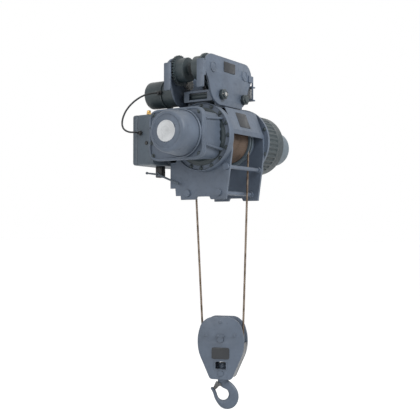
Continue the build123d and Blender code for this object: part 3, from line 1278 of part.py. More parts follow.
def sheave():
    """The sheave: a grooved rim, a web and a hub bored to run on the axle."""
    half = SHEAVE_WIDTH / 2
    groove = SHEAVE_PITCH_RADIUS - ROPE_RADIUS - 2 * SEAT
    web = SHEAVE_WEB / 2
    inner = groove - 12.0
    bore = SHEAVE_AXLE_RADIUS + RUNNING_FIT
    points = [
        (-half, bore),
        (half, bore),
        (half, SHEAVE_HUB_RADIUS),
        (web, SHEAVE_HUB_RADIUS),
        (web, inner),
        (half, inner),
        (half, SHEAVE_RIM_RADIUS),
        (half - 3.0, SHEAVE_RIM_RADIUS),
        (ROPE_RADIUS + 2 * SEAT, groove + ROPE_RADIUS),
        (ROPE_RADIUS + SEAT, groove + ROPE_RADIUS / 2),
        (0.6 * ROPE_RADIUS, groove),
        (-0.6 * ROPE_RADIUS, groove),
        (-ROPE_RADIUS - SEAT, groove + ROPE_RADIUS / 2),
        (-ROPE_RADIUS - 2 * SEAT, groove + ROPE_RADIUS),
        (-half + 3.0, SHEAVE_RIM_RADIUS),
        (-half, SHEAVE_RIM_RADIUS),
        (-half, inner),
        (-web, inner),
        (-web, SHEAVE_HUB_RADIUS),
        (-half, SHEAVE_HUB_RADIUS),
    ]
    place = Plane(origin=(0, 0, SHEAVE_Z), x_dir=(1, 0, 0), z_dir=(0, -1, 0))
    return turned_block(revolve(place * outline(points), Axis((0, 0, SHEAVE_Z), (1, 0, 0))))


def rope_on_sheave():
    """The rope's half turn under the sheave."""
    place = Plane(origin=(0, SHEAVE_PITCH_RADIUS, SHEAVE_Z), x_dir=(1, 0, 0), z_dir=(0, 0, -1))
    ring = revolve(place * Circle(ROPE_RADIUS), Axis((0, 0, SHEAVE_Z), (-1, 0, 0)), 180.0)
    return turned_block(ring)


def crosshead():
    """The crosshead that carries the hook, on two trunnions in the cheeks."""
    half = CROSSHEAD_HALF_HEIGHT
    reach = CHEEK_INNER - 1.0
    wide = CROSSHEAD_HALF_WIDTH
    body = block(-reach, reach, -wide, wide, CROSSHEAD_Z - half, CROSSHEAD_Z + half)
    end = CHEEK_INNER + CHEEK_THICKNESS + 3.0
    body += rod_x(-end, end, (0, CROSSHEAD_Z), TRUNNION_RADIUS)
    body -= rod_z(CROSSHEAD_Z - half, CROSSHEAD_Z + half, (0, 0), SHANK_RADIUS + RUNNING_FIT)
    return turned_block(body)


def hook_face():
    """The hook's flat outline, across its bowl: back, floor, tip and the throat's inside."""
    inner = HOOK_BOWL_RADIUS
    bowl = (0.0, HOOK_BOWL_Z)
    steps = 14
    points = []
    neck = HOOK_NECK_RADIUS - 3.0
    neck_z = SHEAVE_Z + CHEEK_BOTTOM - HOOK_NECK_LENGTH
    points.append((neck, neck_z))
    points.append((-neck, neck_z))
    for step in range(steps + 1):
        angle = 150.0 + (345.0 - 150.0) * step / steps
        taper = max(0.0, step / steps - HOOK_TAPER_START)
        points.append(polar(bowl, inner + HOOK_BACK - HOOK_TAPER * taper, angle))
    points.append((HOOK_TIP_S, HOOK_TIP_Z))
    points.append((HOOK_TIP_S - 10.0, HOOK_TIP_Z + 4.0))
    for step in range(steps + 1):
        angle = 375.0 - (375.0 - 128.0) * step / steps
        points.append(polar(bowl, inner, angle))
    points.append((neck - 10.0, neck_z - 16.0))
    return outline(points)


def hook():
    """The forged hook with its round neck and threaded shank, and the nut above the crosshead."""
    half = HOOK_THICKNESS / 2
    body = slab_x(hook_face(), -half, half)
    top = SHEAVE_Z + CHEEK_BOTTOM
    head = CROSSHEAD_Z + CROSSHEAD_HALF_HEIGHT
    collar = CROSSHEAD_Z - CROSSHEAD_HALF_HEIGHT - SEAT
    body += rod_z(top - HOOK_NECK_LENGTH - 2.0, collar, (0, 0), HOOK_NECK_RADIUS)
    body -= rod_x(-half, half, LATCH_PIVOT, LATCH_PIN_RADIUS + RUNNING_FIT)
    body += rod_z(collar, head + HOOK_NUT_THICKNESS - 2.0, (0, 0), SHANK_RADIUS)
    bearing_z = head + SEAT
    nut = rod_z(bearing_z, bearing_z + HOOK_NUT_THICKNESS, (0, 0), HOOK_NUT_RADIUS, SHANK_RADIUS + SEAT)
    return [turned_block(body), turned_block(nut)]


def hook_latch():
    """The sprung latch: two ears on a pin through the hook, and a tongue that closes the throat."""
    inner = HOOK_THICKNESS / 2 + SEAT
    outer = inner + 2.0
    end = polar(LATCH_PIVOT, LATCH_LENGTH, LATCH_ANGLE)
    start = polar(LATCH_PIVOT, LATCH_START, LATCH_ANGLE)
    side = LATCH_ANGLE + 90.0
    half = LATCH_THICKNESS / 2
    tongue = []
    root = []
    for point, reach in ((start, 1), (end, 1), (end, -1), (start, -1)):
        tongue.append(polar(point, reach * half, side))
    for point, reach in ((LATCH_PIVOT, 1), (start, 1), (start, -1), (LATCH_PIVOT, -1)):
        root.append(polar(point, reach * LATCH_EAR_RADIUS * 0.8, side))
    latch = slab_x(outline(tongue), -outer, outer)
    latch += rod_x(-outer, outer, LATCH_PIVOT, LATCH_PIN_RADIUS)
    for low in (-outer, inner):
        latch += rod_x(low, low + 2.0, LATCH_PIVOT, LATCH_EAR_RADIUS)
        latch += slab_x(outline(root), low, low + 2.0)
    return turned_block(latch)


nodes = {
    "trolley_near_plate": [trolley_plate(-1)],
    "trolley_far_plate": [trolley_plate(1)],
    "trolley_shafts": trolley_shafts(),
    "axle_caps": axle_caps(),
    "roller_brackets": roller_brackets(),
    "drive_wheel": [wheel(-1, 1, True)],
    "front_left_wheel": [wheel(-1, -1, False)],
    "front_right_wheel": [wheel(1, -1, False)],
    "back_right_wheel": [wheel(1, 1, False)],
    "front_guide_roller": [guide_roller(-1)],
    "back_guide_roller": [guide_roller(1)],
    "drive_shaft": [drive_shaft()],
    "traverse_rotor": [traverse_rotor()],
    "traverse_gearbox": [traverse_gearbox()],
    "traverse_motor_housing": [traverse_motor_housing()],
    "traverse_stator": [traverse_stator()],
    "top_deck": [top_deck()],
    "near_frame_plate": [frame_plate(FRAME_NEAR_X, True)],
    "far_frame_plate": [frame_plate(FRAME_FAR_INNER_X, False)],
    "frame_bars": frame_bars(),
    "rope_socket": [rope_socket()],
    "drum_guard": [drum_guard()],
    "bare_plates": bare_plates(),
    "gear_case_body": [gear_case_body()],
    "gear_case_cover": [gear_case_cover()],
    "case_screws": case_screws(),
    "bearings": bearings(),
    "far_flange": [far_flange()],
    "motor_housing": [motor_housing()],
    "motor_shields": motor_shields(),
    "stator": stator(),
    "brake_magnet": [brake_magnet()],
    "motor_end_cap": [motor_end_cap()],
    "control_box": [control_box()],
    "control_box_lid": [control_box_lid()],
    "control_gear": control_gear(),
    "cable_glands": cable_glands(),
    "traverse_cable": [traverse_cable()],
    "limit_switch": [limit_switch()],
    "limit_lever": [limit_lever()],
    "fall_drum_side": [fall((DRUM_FALL_X, DRUM_Y - WINDING_RADIUS - SEAT, DRUM_Z), sheave_side(-1))],
    "fall_anchor_side": [fall((ANCHOR_X, ANCHOR_BAR_PLACE[0], SOCKET_BOTTOM - SEAT), sheave_side(1))],
    "drum_barrel": [drum_barrel()],
    "drum_hubs": drum_hubs(),
    "output_gear": [output_gear()],
    "rope_winding": [rope_winding()],
    "intermediate_shaft": intermediate_shaft(),
    "motor_shaft": [motor_shaft()],
    "rotor_core": [rotor_core()],
    "brake_disc": [brake_disc()],
    "rope_guide": [rope_guide()],
    "block_cheeks": block_cheeks(),
    "block_plate": [block_plate()],
    "sheave_axle": [sheave_axle()],
    "sheave": [sheave()],
    "rope_on_sheave": [rope_on_sheave()],
    "crosshead": [crosshead()],
    "hook": hook(),
    "hook_latch": [hook_latch()],
}

os.makedirs("parts", exist_ok=True)
for name, solids in nodes.items():
    shape = solids[0] if len(solids) == 1 else Compound(children=solids)
    export_step(shape, f"parts/{name}.step")
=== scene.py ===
import bmesh
import bpy
import math
import numpy as np
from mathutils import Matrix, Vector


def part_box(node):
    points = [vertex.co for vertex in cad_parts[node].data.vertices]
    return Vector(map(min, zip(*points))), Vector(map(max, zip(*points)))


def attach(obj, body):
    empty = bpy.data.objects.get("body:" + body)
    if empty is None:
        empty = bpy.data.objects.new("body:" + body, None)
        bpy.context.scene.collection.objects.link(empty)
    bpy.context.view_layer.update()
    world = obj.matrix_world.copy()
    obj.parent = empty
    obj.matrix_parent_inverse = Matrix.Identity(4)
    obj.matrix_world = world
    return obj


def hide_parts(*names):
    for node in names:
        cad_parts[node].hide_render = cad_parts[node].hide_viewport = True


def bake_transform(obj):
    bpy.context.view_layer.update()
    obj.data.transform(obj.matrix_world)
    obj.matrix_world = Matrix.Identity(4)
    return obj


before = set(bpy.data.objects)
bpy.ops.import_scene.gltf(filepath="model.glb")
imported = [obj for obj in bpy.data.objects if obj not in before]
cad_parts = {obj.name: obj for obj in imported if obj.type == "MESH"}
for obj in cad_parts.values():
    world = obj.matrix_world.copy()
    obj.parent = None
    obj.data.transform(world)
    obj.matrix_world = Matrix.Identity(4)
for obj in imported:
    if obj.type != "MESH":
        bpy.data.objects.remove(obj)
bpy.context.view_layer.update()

# The camera: it stands 3.7 metres off, level with the falls, and looks past the gear case's corner.
# It tips up a little, because the photograph's horizon lies under the middle of the picture.
camera_sight = bpy.data.cameras.new("camera")
camera_sight.lens = 70.3
camera_sight.sensor_width = 36.0
camera = bpy.data.objects.new("camera", camera_sight)
camera.location = (-3.079, -1.993, -0.648)
camera.rotation_euler = (math.radians(91.4), 0.0, math.radians(-57.1))
bpy.context.scene.collection.objects.link(camera)
bpy.context.scene.camera = camera

# The traverse cable: a black rubber lead of 8 mm from the trolley motor to the control box.
# It leaves one gland, hangs in a free loop out past the box, and comes back into the other gland.
def noise_input(tree, scale, detail, position):
    """A noise texture on the piece's own coordinates in metres; scale is in waves to the metre."""
    noise = tree.nodes.new("ShaderNodeTexNoise")
    noise.location = position
    noise.inputs["Scale"].default_value = scale
    noise.inputs["Detail"].default_value = detail
    place = tree.nodes.new("ShaderNodeTexCoord")
    place.location = (position[0] - 200, position[1])
    tree.links.new(place.outputs["Object"], noise.inputs["Vector"])
    return noise


def between(tree, factor, low, high, start=0.0, end=1.0):
    """A value that goes from low to high as the factor goes from start to end."""
    ramp = tree.nodes.new("ShaderNodeMapRange")
    ramp.inputs["From Min"].default_value = start
    ramp.inputs["From Max"].default_value = end
    ramp.inputs["To Min"].default_value = low
    ramp.inputs["To Max"].default_value = high
    tree.links.new(factor, ramp.inputs["Value"])
    return ramp.outputs["Result"]


def mixed(tree, factor, first, second):
    """A colour that turns from the first to the second; each is a colour or another node's socket."""
    mix = tree.nodes.new("ShaderNodeMix")
    mix.data_type = "RGBA"
    tree.links.new(factor, mix.inputs["Factor"])
    for socket, colour in (("A", first), ("B", second)):
        target = [item for item in mix.inputs if item.name == socket and item.type == "RGBA"][0]
        if isinstance(colour, tuple):
            target.default_value = (*colour, 1.0)
        else:
            tree.links.new(colour, target)
    return [item for item in mix.outputs if item.type == "RGBA"][0]


def new_finish(name):
    """An empty node material with its Principled shader."""
    finish = bpy.data.materials.new(name)
    finish.use_nodes = True
    return finish, finish.node_tree, finish.node_tree.nodes["Principled BSDF"]


def bumped(tree, shader, height, depth):
    """Puts a height in metres on a shader's normal, over edges that look rounded by a millimetre or two."""
    bump = tree.nodes.new("ShaderNodeBump")
    rounded = tree.nodes.new("ShaderNodeBevel")
    rounded.samples = 4
    rounded.inputs["Radius"].default_value = 0.0018
    tree.links.new(rounded.outputs["Normal"], bump.inputs["Normal"])
    bump.inputs["Distance"].default_value = depth
    bump.inputs["Strength"].default_value = 1.0
    tree.links.new(height, bump.inputs["Height"])
    tree.links.new(bump.outputs["Normal"], shader.inputs["Normal"])


def moulded(name, colour, worn, roughness):
    """Rubber or plastic: an even colour with pale scuffs and a fine grain."""
    finish, tree, shader = new_finish(name)
    patches = noise_input(tree, 22.0, 4.0, (-900, 200))
    scuff = between(tree, patches.outputs["Fac"], 0.0, 1.0, 0.52, 0.78)
    tree.links.new(mixed(tree, scuff, colour, worn), shader.inputs["Base Color"])
    grain = noise_input(tree, 900.0, 2.0, (-900, -200))
    shine = between(tree, patches.outputs["Fac"], roughness - 0.08, roughness + 0.12, 0.3, 0.7)
    tree.links.new(shine, shader.inputs["Roughness"])
    bumped(tree, shader, grain.outputs["Fac"], 0.0002)
    return finish


cable_rubber = moulded("cable_rubber", (0.018, 0.020, 0.022), (0.05, 0.052, 0.055), 0.5)
cable_route = [
    (-0.147, 0.186, -0.037), (-0.178, 0.202, -0.041), (-0.203, 0.232, -0.056), (-0.221, 0.268, -0.084),
    (-0.233, 0.298, -0.122), (-0.239, 0.312, -0.166), (-0.240, 0.304, -0.200), (-0.236, 0.274, -0.216),
    (-0.219, 0.253, -0.215), (-0.193, 0.253, -0.215),
]
cable_diameter = 0.008
cable_line = bpy.data.curves.new("traverse_cable_sheath", "CURVE")
cable_line.dimensions = "3D"
cable_spline = cable_line.splines.new("NURBS")
cable_spline.points.add(len(cable_route) - 1)
for point, place in zip(cable_spline.points, cable_route):
    point.co = (*place, 1.0)
cable_spline.order_u = 3
cable_spline.use_endpoint_u = True
cable_line.resolution_u = 12
cable_line.bevel_depth = cable_diameter / 2
cable_line.bevel_resolution = 6
cable_line.use_fill_caps = True
cable_line.materials.append(cable_rubber)
cable_sheath = bpy.data.objects.new("traverse_cable_sheath", cable_line)
bpy.context.scene.collection.objects.link(cable_sheath)
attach(cable_sheath, "frame")
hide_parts("traverse_cable")

# The shop-painted steel: slate-blue enamel sprayed over the whole hoist, darker on the bought-in drives.
# It is thin over castings, chipped to grey primer at the edges, and holds dust where it faces up.
def worn_edge_group():
    """A mask that is 1 where the surface turns within a radius: one less the cosine to the rounded normal."""
    group = bpy.data.node_groups.new("worn_edge", "ShaderNodeTree")
    group.interface.new_socket("Radius", in_out="INPUT", socket_type="NodeSocketFloat")
    group.interface.new_socket("Patches", in_out="INPUT", socket_type="NodeSocketFloat")
    group.interface.new_socket("Mask", in_out="OUTPUT", socket_type="NodeSocketFloat")
    entry = group.nodes.new("NodeGroupInput")
    exit_node = group.nodes.new("NodeGroupOutput")
    rounded = group.nodes.new("ShaderNodeBevel")
    rounded.samples = 4
    flat = group.nodes.new("ShaderNodeNewGeometry")
    turn = group.nodes.new("ShaderNodeVectorMath")
    turn.operation = "DOT_PRODUCT"
    group.links.new(entry.outputs["Radius"], rounded.inputs["Radius"])
    group.links.new(rounded.outputs["Normal"], turn.inputs[0])
    group.links.new(flat.outputs["Normal"], turn.inputs[1])
    edge = between(group, turn.outputs["Value"], 1.0, 0.0, 0.80, 0.97)
    patchy = noise_input(group, 45.0, 5.0, (-900, -300))
    chip = between(group, patchy.outputs["Fac"], 0.0, 1.0, 0.42, 0.60)
    both = group.nodes.new("ShaderNodeMath")
    both.operation = "MULTIPLY"
    group.links.new(edge, both.inputs[0])
    group.links.new(chip, both.inputs[1])
    scaled = group.nodes.new("ShaderNodeMath")
    scaled.operation = "MULTIPLY"
    group.links.new(both.outputs["Value"], scaled.inputs[0])
    group.links.new(entry.outputs["Patches"], scaled.inputs[1])
    group.links.new(scaled.outputs["Value"], exit_node.inputs["Mask"])
    return group


def dust_group():
    """A mask of settled dust: how far the surface faces up, broken by noise, times an amount."""
    group = bpy.data.node_groups.new("settled_dust", "ShaderNodeTree")
    group.interface.new_socket("Amount", in_out="INPUT", socket_type="NodeSocketFloat")
    group.interface.new_socket("Mask", in_out="OUTPUT", socket_type="NodeSocketFloat")
    entry = group.nodes.new("NodeGroupInput")
    exit_node = group.nodes.new("NodeGroupOutput")
    facing = group.nodes.new("ShaderNodeNewGeometry")
    split = group.nodes.new("ShaderNodeSeparateXYZ")
    group.links.new(facing.outputs["Normal"], split.inputs["Vector"])
    upward = between(group, split.outputs["Z"], 0.0, 1.0, 0.25, 0.95)
    clouds = noise_input(group, 16.0, 5.0, (-900, -300))
    broken = between(group, clouds.outputs["Fac"], 0.3, 1.0, 0.35, 0.65)
    both = group.nodes.new("ShaderNodeMath")
    both.operation = "MULTIPLY"
    group.links.new(upward, both.inputs[0])
    group.links.new(broken, both.inputs[1])
    scaled = group.nodes.new("ShaderNodeMath")
    scaled.operation = "MULTIPLY"
    group.links.new(both.outputs["Value"], scaled.inputs[0])
    group.links.new(entry.outputs["Amount"], scaled.inputs[1])
    group.links.new(scaled.outputs["Value"], exit_node.inputs["Mask"])
    return group


worn_edge = worn_edge_group()
settled_dust = dust_group()


def mask_from(tree, group, values):
    """Places a node group with its own values and gives its mask."""
    node = tree.nodes.new("ShaderNodeGroup")
    node.node_tree = group
    for name, value in values.items():
        node.inputs[name].default_value = value
    return node.outputs["Mask"]


def enamel(name, colour, roughness, grain, grain_depth, chips, dust):
    """Sprayed enamel: mottled colour, orange peel or cast grain under it, chipped edges and dust."""
    finish, tree, shader = new_finish(name)
    clouds = noise_input(tree, 9.0, 4.0, (-1200, 300))
    dark = tuple(0.80 * part for part in colour)
    light = tuple(1.16 * part for part in colour)
    tone = mixed(tree, between(tree, clouds.outputs["Fac"], 0.0, 1.0, 0.3, 0.7), dark, light)
    grime = noise_input(tree, 60.0, 6.0, (-1200, 0))
    spots = between(tree, grime.outputs["Fac"], 0.0, 0.35, 0.58, 0.74)
    tone = mixed(tree, spots, tone, tuple(0.55 * part for part in colour))
    worn = mask_from(tree, worn_edge, {"Radius": 0.0016, "Patches": chips})
    primer = tuple(0.22 + 0.8 * part for part in colour)
    tone = mixed(tree, worn, tone, primer)
    dusty = mask_from(tree, settled_dust, {"Amount": dust})
    tone = mixed(tree, dusty, tone, (0.30, 0.30, 0.29))
    tree.links.new(tone, shader.inputs["Base Color"])
    shine = between(tree, grime.outputs["Fac"], roughness - 0.07, roughness + 0.12, 0.3, 0.7)
    tree.links.new(shine, shader.inputs["Roughness"])
    skin = noise_input(tree, grain, 3.0, (-1200, -400))
    bumped(tree, shader, skin.outputs["Fac"], grain_depth)
    return finish


slate_enamel = enamel("slate_enamel", (0.098, 0.126, 0.172), 0.42, 420.0, 0.0003, 0.55, 0.25)
slate_casting = enamel("slate_casting", (0.092, 0.119, 0.163), 0.48, 240.0, 0.0008, 0.5, 0.25)
# The near-black drive enamel also serves as painted shade on the flange's recess ring and on the trolley's
# wheels.
drive_enamel_and_painted_shade = enamel("drive_enamel_and_painted_shade", (0.030, 0.045, 0.052), 0.45, 320.0, 0.0005, 0.5, 0.3)
cap_enamel = enamel("cap_enamel", (0.120, 0.158, 0.190), 0.38, 420.0, 0.0003, 0.4, 0.2)


def metal(name, colour, stain, roughness, grain, stained):
    """Bare metal: brushed or turned surface with darker oiled stains."""
    finish, tree, shader = new_finish(name)
    shader.inputs["Metallic"].default_value = 0.9
    clouds = noise_input(tree, 34.0, 5.0, (-1200, 300))
    amount = between(tree, clouds.outputs["Fac"], 0.0, stained, 0.40, 0.68)
    tree.links.new(mixed(tree, amount, colour, stain), shader.inputs["Base Color"])
    shine = between(tree, clouds.outputs["Fac"], roughness - 0.06, roughness + 0.2, 0.35, 0.7)
    tree.links.new(shine, shader.inputs["Roughness"])
    skin = noise_input(tree, grain, 2.0, (-1200, -300))
    bumped(tree, shader, skin.outputs["Fac"], 0.0002)
    return finish


bright_steel = metal("bright_steel", (0.50, 0.50, 0.49), (0.16, 0.14, 0.12), 0.34, 700.0, 0.7)
dark_steel = metal("dark_steel", (0.13, 0.135, 0.14), (0.05, 0.045, 0.04), 0.42, 500.0, 0.8)
rope_steel = metal("rope_steel", (0.22, 0.175, 0.14), (0.10, 0.072, 0.052), 0.5, 900.0, 1.0)
gland_brass = metal("gland_brass", (0.72, 0.47, 0.17), (0.30, 0.20, 0.08), 0.32, 700.0, 0.5)
roller_polymer = moulded("roller_polymer", (0.30, 0.31, 0.32), (0.16, 0.16, 0.16), 0.5)
black_mould = moulded("black_mould", (0.014, 0.015, 0.016), (0.04, 0.04, 0.042), 0.45)
pale_plate = enamel("pale_plate", (0.62, 0.64, 0.66), 0.35, 500.0, 0.0001, 0.2, 0.05)
# Near-black sheet: the bare plates' own colour, and painted shade on the block's side guards.
dark_plate_and_painted_shade = enamel("dark_plate_and_painted_shade", (0.016, 0.019, 0.024), 0.35, 500.0, 0.0001, 0.2, 0.1)

node_finishes = {
    "slate_paint": slate_enamel,
    "dark_paint": drive_enamel_and_painted_shade,
    "light_paint": pale_plate,
    "steel": bright_steel,
    "cast": slate_casting,
    "rope": rope_steel,
    "brass": gland_brass,
    "rubber": cable_rubber,
    "black_plastic": black_mould,
}
own_finishes = {
    "trolley_shafts": drive_enamel_and_painted_shade,
    "axle_caps": slate_enamel,
    "case_screws": drive_enamel_and_painted_shade,
    "frame_bars": slate_enamel,
    "traverse_gearbox": drive_enamel_and_painted_shade,
    # The four wheels take the near-black enamel as painted shade, for the shade under the beam, which is not
    # built.
    "drive_wheel": drive_enamel_and_painted_shade,
    "front_left_wheel": drive_enamel_and_painted_shade,
    "front_right_wheel": drive_enamel_and_painted_shade,
    "back_right_wheel": drive_enamel_and_painted_shade,
    "sheave_axle": slate_enamel,
    "crosshead": slate_casting,
    "motor_end_cap": cap_enamel,
    "far_flange": slate_enamel,
    "rope_guide": cap_enamel,
    "front_guide_roller": roller_polymer,
    "back_guide_roller": roller_polymer,
    "limit_lever": slate_enamel,
}
for name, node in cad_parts.items():
    own = [row.name.split(".")[0] for row in node.data.materials]
    for slot, material in zip(node.material_slots, own):
        slot.material = own_finishes.get(name, node_finishes.get(material, slate_enamel))

# The hook: one drop forging with a round neck, a thick inner side and a thin tip, painted with the block.
# Its threaded shank goes up through the crosshead into a nut; the whole hook turns in the crosshead.
def grid_part(points, wrap_rows=False, wrap_columns=False, cap_first=False, cap_last=False):
    """One surface as points and faces: quads between neighbours of a grid, and flat caps on its end rows."""
    rows, columns = points.shape[:2]
    row = np.arange(rows if wrap_rows else rows - 1)
    column = np.arange(columns if wrap_columns else columns - 1)
    first, along = np.meshgrid(row, column, indexing="ij")
    next_row = (first + 1) % rows
    next_column = (along + 1) % columns
    corners = (first * columns + along, first * columns + next_column,
               next_row * columns + next_column, next_row * columns + along)
    faces = np.stack(corners, -1).reshape(-1, 4).tolist()
    if cap_first:
        faces.append(list(range(columns)))
    if cap_last:
        faces.append(list(range((rows - 1) * columns, rows * columns))[::-1])
    return points.reshape(-1, 3), faces


def smooth_rows(rows, steps):
    """A table with Catmull-Rom values between its rows: each stretch is a cubic through both its ends."""
    rows = np.asarray(rows, float)
    padded = np.vstack([2 * rows[0] - rows[1], rows, 2 * rows[-1] - rows[-2]])
    place = np.linspace(0.0, len(rows) - 1.0, steps)
    index = np.minimum(place.astype(int), len(rows) - 2)
    t = (place - index)[:, None]
    a, b, c, d = (padded[index + shift] for shift in range(4))
    square = 2 * a - 5 * b + 4 * c - d
    cube = 3 * b - a - 3 * c + d
    return 0.5 * (2 * b + (c - a) * t + square * t ** 2 + cube * t ** 3)


def turned_part(profile, axis, centre, sides=64):
    """A profile of (place along the axis, radius) turned round an axis through a centre."""
    profile = np.asarray(profile, float)
    turn = np.linspace(0.0, 2 * math.pi, sides, endpoint=False)
    along = np.broadcast_to(profile[:, :1], (len(profile), sides))
    across = profile[:, 1:] * np.cos(turn)
    up = profile[:, 1:] * np.sin(turn)
    order = {"x": (along, across, up), "y": (across, along, up), "z": (across, up, along)}[axis]
    return grid_part(np.stack(order, -1) + np.asarray(centre, float), wrap_columns=True)


def make_piece(name, parts, finish, body, stands_for=(), sharp=38.0):
    """A mesh object from its parts: doubles merged, faces outward, sharp past an angle, on its body."""
    mesh = bpy.data.meshes.new(name)
    points = []
    faces = []
    count = 0
    for part_points, part_faces in parts:
        points.append(np.asarray(part_points, float).reshape(-1, 3))
        faces.extend([[corner + count for corner in face] for face in part_faces])
        count += len(points[-1])
    mesh.from_pydata(np.vstack(points).tolist(), [], faces)
    work = bmesh.new()
    work.from_mesh(mesh)
    bmesh.ops.remove_doubles(work, verts=work.verts, dist=1e-6)
    bmesh.ops.dissolve_degenerate(work, edges=work.edges, dist=1e-7)
    bmesh.ops.recalc_face_normals(work, faces=work.faces)
    work.to_mesh(mesh)
    work.free()
    mesh.shade_smooth()
    mesh.set_sharp_from_angle(angle=math.radians(sharp))
    mesh.materials.append(finish)
    piece = bpy.data.objects.new(name, mesh)
    bpy.context.scene.collection.objects.link(piece)
    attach(piece, body)
    if stands_for:
        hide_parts(*stands_for)


block_place = np.array([0.111, 0.001, 0.0])
block_turn = math.radians(18.0)


def on_block(part):
    """Turns a part from the block's own axes (sheave axis, across, up) to its place."""
    points, faces = part
    a, s, z = points[:, 0], points[:, 1], points[:, 2]
    x = a * math.cos(block_turn) - s * math.sin(block_turn)
    y = a * math.sin(block_turn) + s * math.cos(block_turn)
    return np.stack([x, y, z], -1) + block_place, faces


def mm(part):
    """A part given in millimetres, in metres."""
    return part[0] * 0.001, part[1]


# Each row: the throat side's point and the back's point, across and up, then the thickness, all in mm.
hook_rows = [
    (23.5, -1315.5, -23.5, -1315.5, 47), (23.5, -1321, -23.5, -1321, 47), (23, -1329, -24, -1328, 45),
    (20, -1342, -29, -1335, 35), (12, -1356, -42, -1344, 32), (0, -1366, -57, -1359, 32),
    (-19.8, -1374.2, -69, -1379, 33), (-27, -1386.8, -73.5, -1397, 33), (-27.6, -1398.9, -72.5, -1418, 33),
    (-21.4, -1412, -63, -1440, 33), (-11.8, -1419.4, -44, -1457, 33), (0, -1422, -19, -1463.5, 32),
    (11.8, -1419.4, 5, -1457.5, 30), (21.4, -1412, 24, -1439, 28), (27, -1401, 37.5, -1417, 25),
    (30.5, -1389, 45, -1395, 22), (36, -1377.5, 51, -1383, 18), (43, -1369, 56.5, -1375, 13),
    (48.5, -1366, 57, -1369.5, 7),
]
squareness = 0.85
sections = smooth_rows(hook_rows, 96)
turn = np.linspace(0.0, 2 * math.pi, 28, endpoint=False)
across = 0.5 + 0.5 * np.sign(np.cos(turn)) * np.abs(np.cos(turn)) ** squareness
thick = np.sign(np.sin(turn)) * np.abs(np.sin(turn)) ** squareness * (0.86 + 0.14 * np.cos(turn))
inner = sections[:, None, 0:2]
outer = sections[:, None, 2:4]
flat = outer + (inner - outer) * across[None, :, None]
hook_grid = np.concatenate([0.5 * sections[:, 4][:, None, None] * thick[None, :, None], flat], -1)
hook_tip = np.broadcast_to(hook_grid[-1].mean(0) + np.array([0.0, 1.5, 2.0]), hook_grid[-1:].shape)
forged = grid_part(np.concatenate([hook_grid, hook_tip]), wrap_columns=True)
shank_profile = [(-1315.5, 0), (-1315.5, 22.5), (-1315.8, 15), (-1274, 15), (-1253, 15), (-1252, 13.5),
                 (-1252, 0)]
shank = turned_part(shank_profile, "z", (0, 0, 0), 40)
nut_turn = np.linspace(0.0, 2 * math.pi, 6, endpoint=False)
hexagon_rings = [(15.4, -1276.7), (20, -1276.7), (21, -1275.5), (21, -1263.5), (20, -1261.9), (15.4, -1261.9)]
nut_points = [[(r * math.cos(a), r * math.sin(a), z) for a in nut_turn] for r, z in hexagon_rings]
hook_nut = grid_part(np.array(nut_points), wrap_rows=True, wrap_columns=True)
hook_parts = [on_block(mm(part)) for part in [forged, shank, hook_nut]]
make_piece("forged_hook", hook_parts, slate_casting, "hook", ("hook",), sharp=60.0)

# The hook's latch: a bent strip of spring-backed sheet on a pin through the hook's neck.
# Its two ears straddle the hook, and its tongue rests inside the tip to close the throat.
latch_pin = (9, -1350)
latch_length = 34.5
latch_lean = math.radians(-45.0)
latch_reach = np.linspace(0.0, 1.0, 14)
latch_path = np.stack([latch_pin[0] + latch_length * latch_reach * math.cos(latch_lean),
                       latch_pin[1] + latch_length * latch_reach * math.sin(latch_lean)], -1)
latch_across = np.linspace(-1.0, 1.0, 13)
latch_half = 19.6 - 7.0 * latch_reach ** 1.5
latch_dish = 22.0 * np.abs(latch_across) ** 8
lift = np.array([math.cos(math.radians(45.0)), math.sin(math.radians(45.0))])
latch_layers = []
for skin in (-1.4, 1.4):
    height = skin + latch_dish[None, :] * (1.0 - 0.5 * latch_reach[:, None])
    width = latch_half[:, None] * latch_across[None, :]
    raised = latch_path[:, None, :] + height[..., None] * lift
    latch_layers.append(np.concatenate([width[..., None], raised], -1))
ring = np.concatenate([latch_layers[0], latch_layers[1][:, ::-1]], 1)
latch_tongue = grid_part(ring, wrap_columns=True, cap_first=True, cap_last=True)
latch_parts = [latch_tongue]
pin_profile = [(16.2, 0), (16.2, 7), (18.2, 7), (18.2, 4.4), (20.2, 3.8), (20.2, 0)]
for side in (-1, 1):
    latch_parts.append(turned_part([(side * a, r) for a, r in pin_profile], "x", (0, *latch_pin), 24))
make_piece("latch_strip", [on_block(mm(part)) for part in latch_parts], dark_steel, "latch",
           ("hook_latch",), sharp=40.0)

# The block's cheeks: two flame-cut plates with ground edges, joined by spacers and two narrow side guards.
# Each cheek carries the axle's keeper, three bolts, and a raised frame round its window.
def rounded_outline(corners, radii, steps=6):
    """A closed outline with each corner cut back and rounded: a quadratic curve from side to side."""
    corners = np.asarray(corners, float)
    radii = np.broadcast_to(radii, len(corners))
    before = np.roll(corners, 1, 0) - corners
    after = np.roll(corners, -1, 0) - corners
    before_length = np.linalg.norm(before, axis=1)
    after_length = np.linalg.norm(after, axis=1)
    reach = np.minimum(radii, 0.48 * np.minimum(before_length, after_length))[:, None]
    start = corners + before / before_length[:, None] * reach
    end = corners + after / after_length[:, None] * reach
    t = np.linspace(0.0, 1.0, steps)[None, :, None]
    bend = (1 - t) ** 2 * start[:, None] + 2 * t * (1 - t) * corners[:, None] + t ** 2 * end[:, None]
    return bend.reshape(-1, 2)


def circle_outline(centre, radius, steps=32):
    """A round outline."""
    turn = np.linspace(0.0, 2 * math.pi, steps, endpoint=False)
    return np.stack([centre[0] + radius * np.cos(turn), centre[1] + radius * np.sin(turn)], -1)


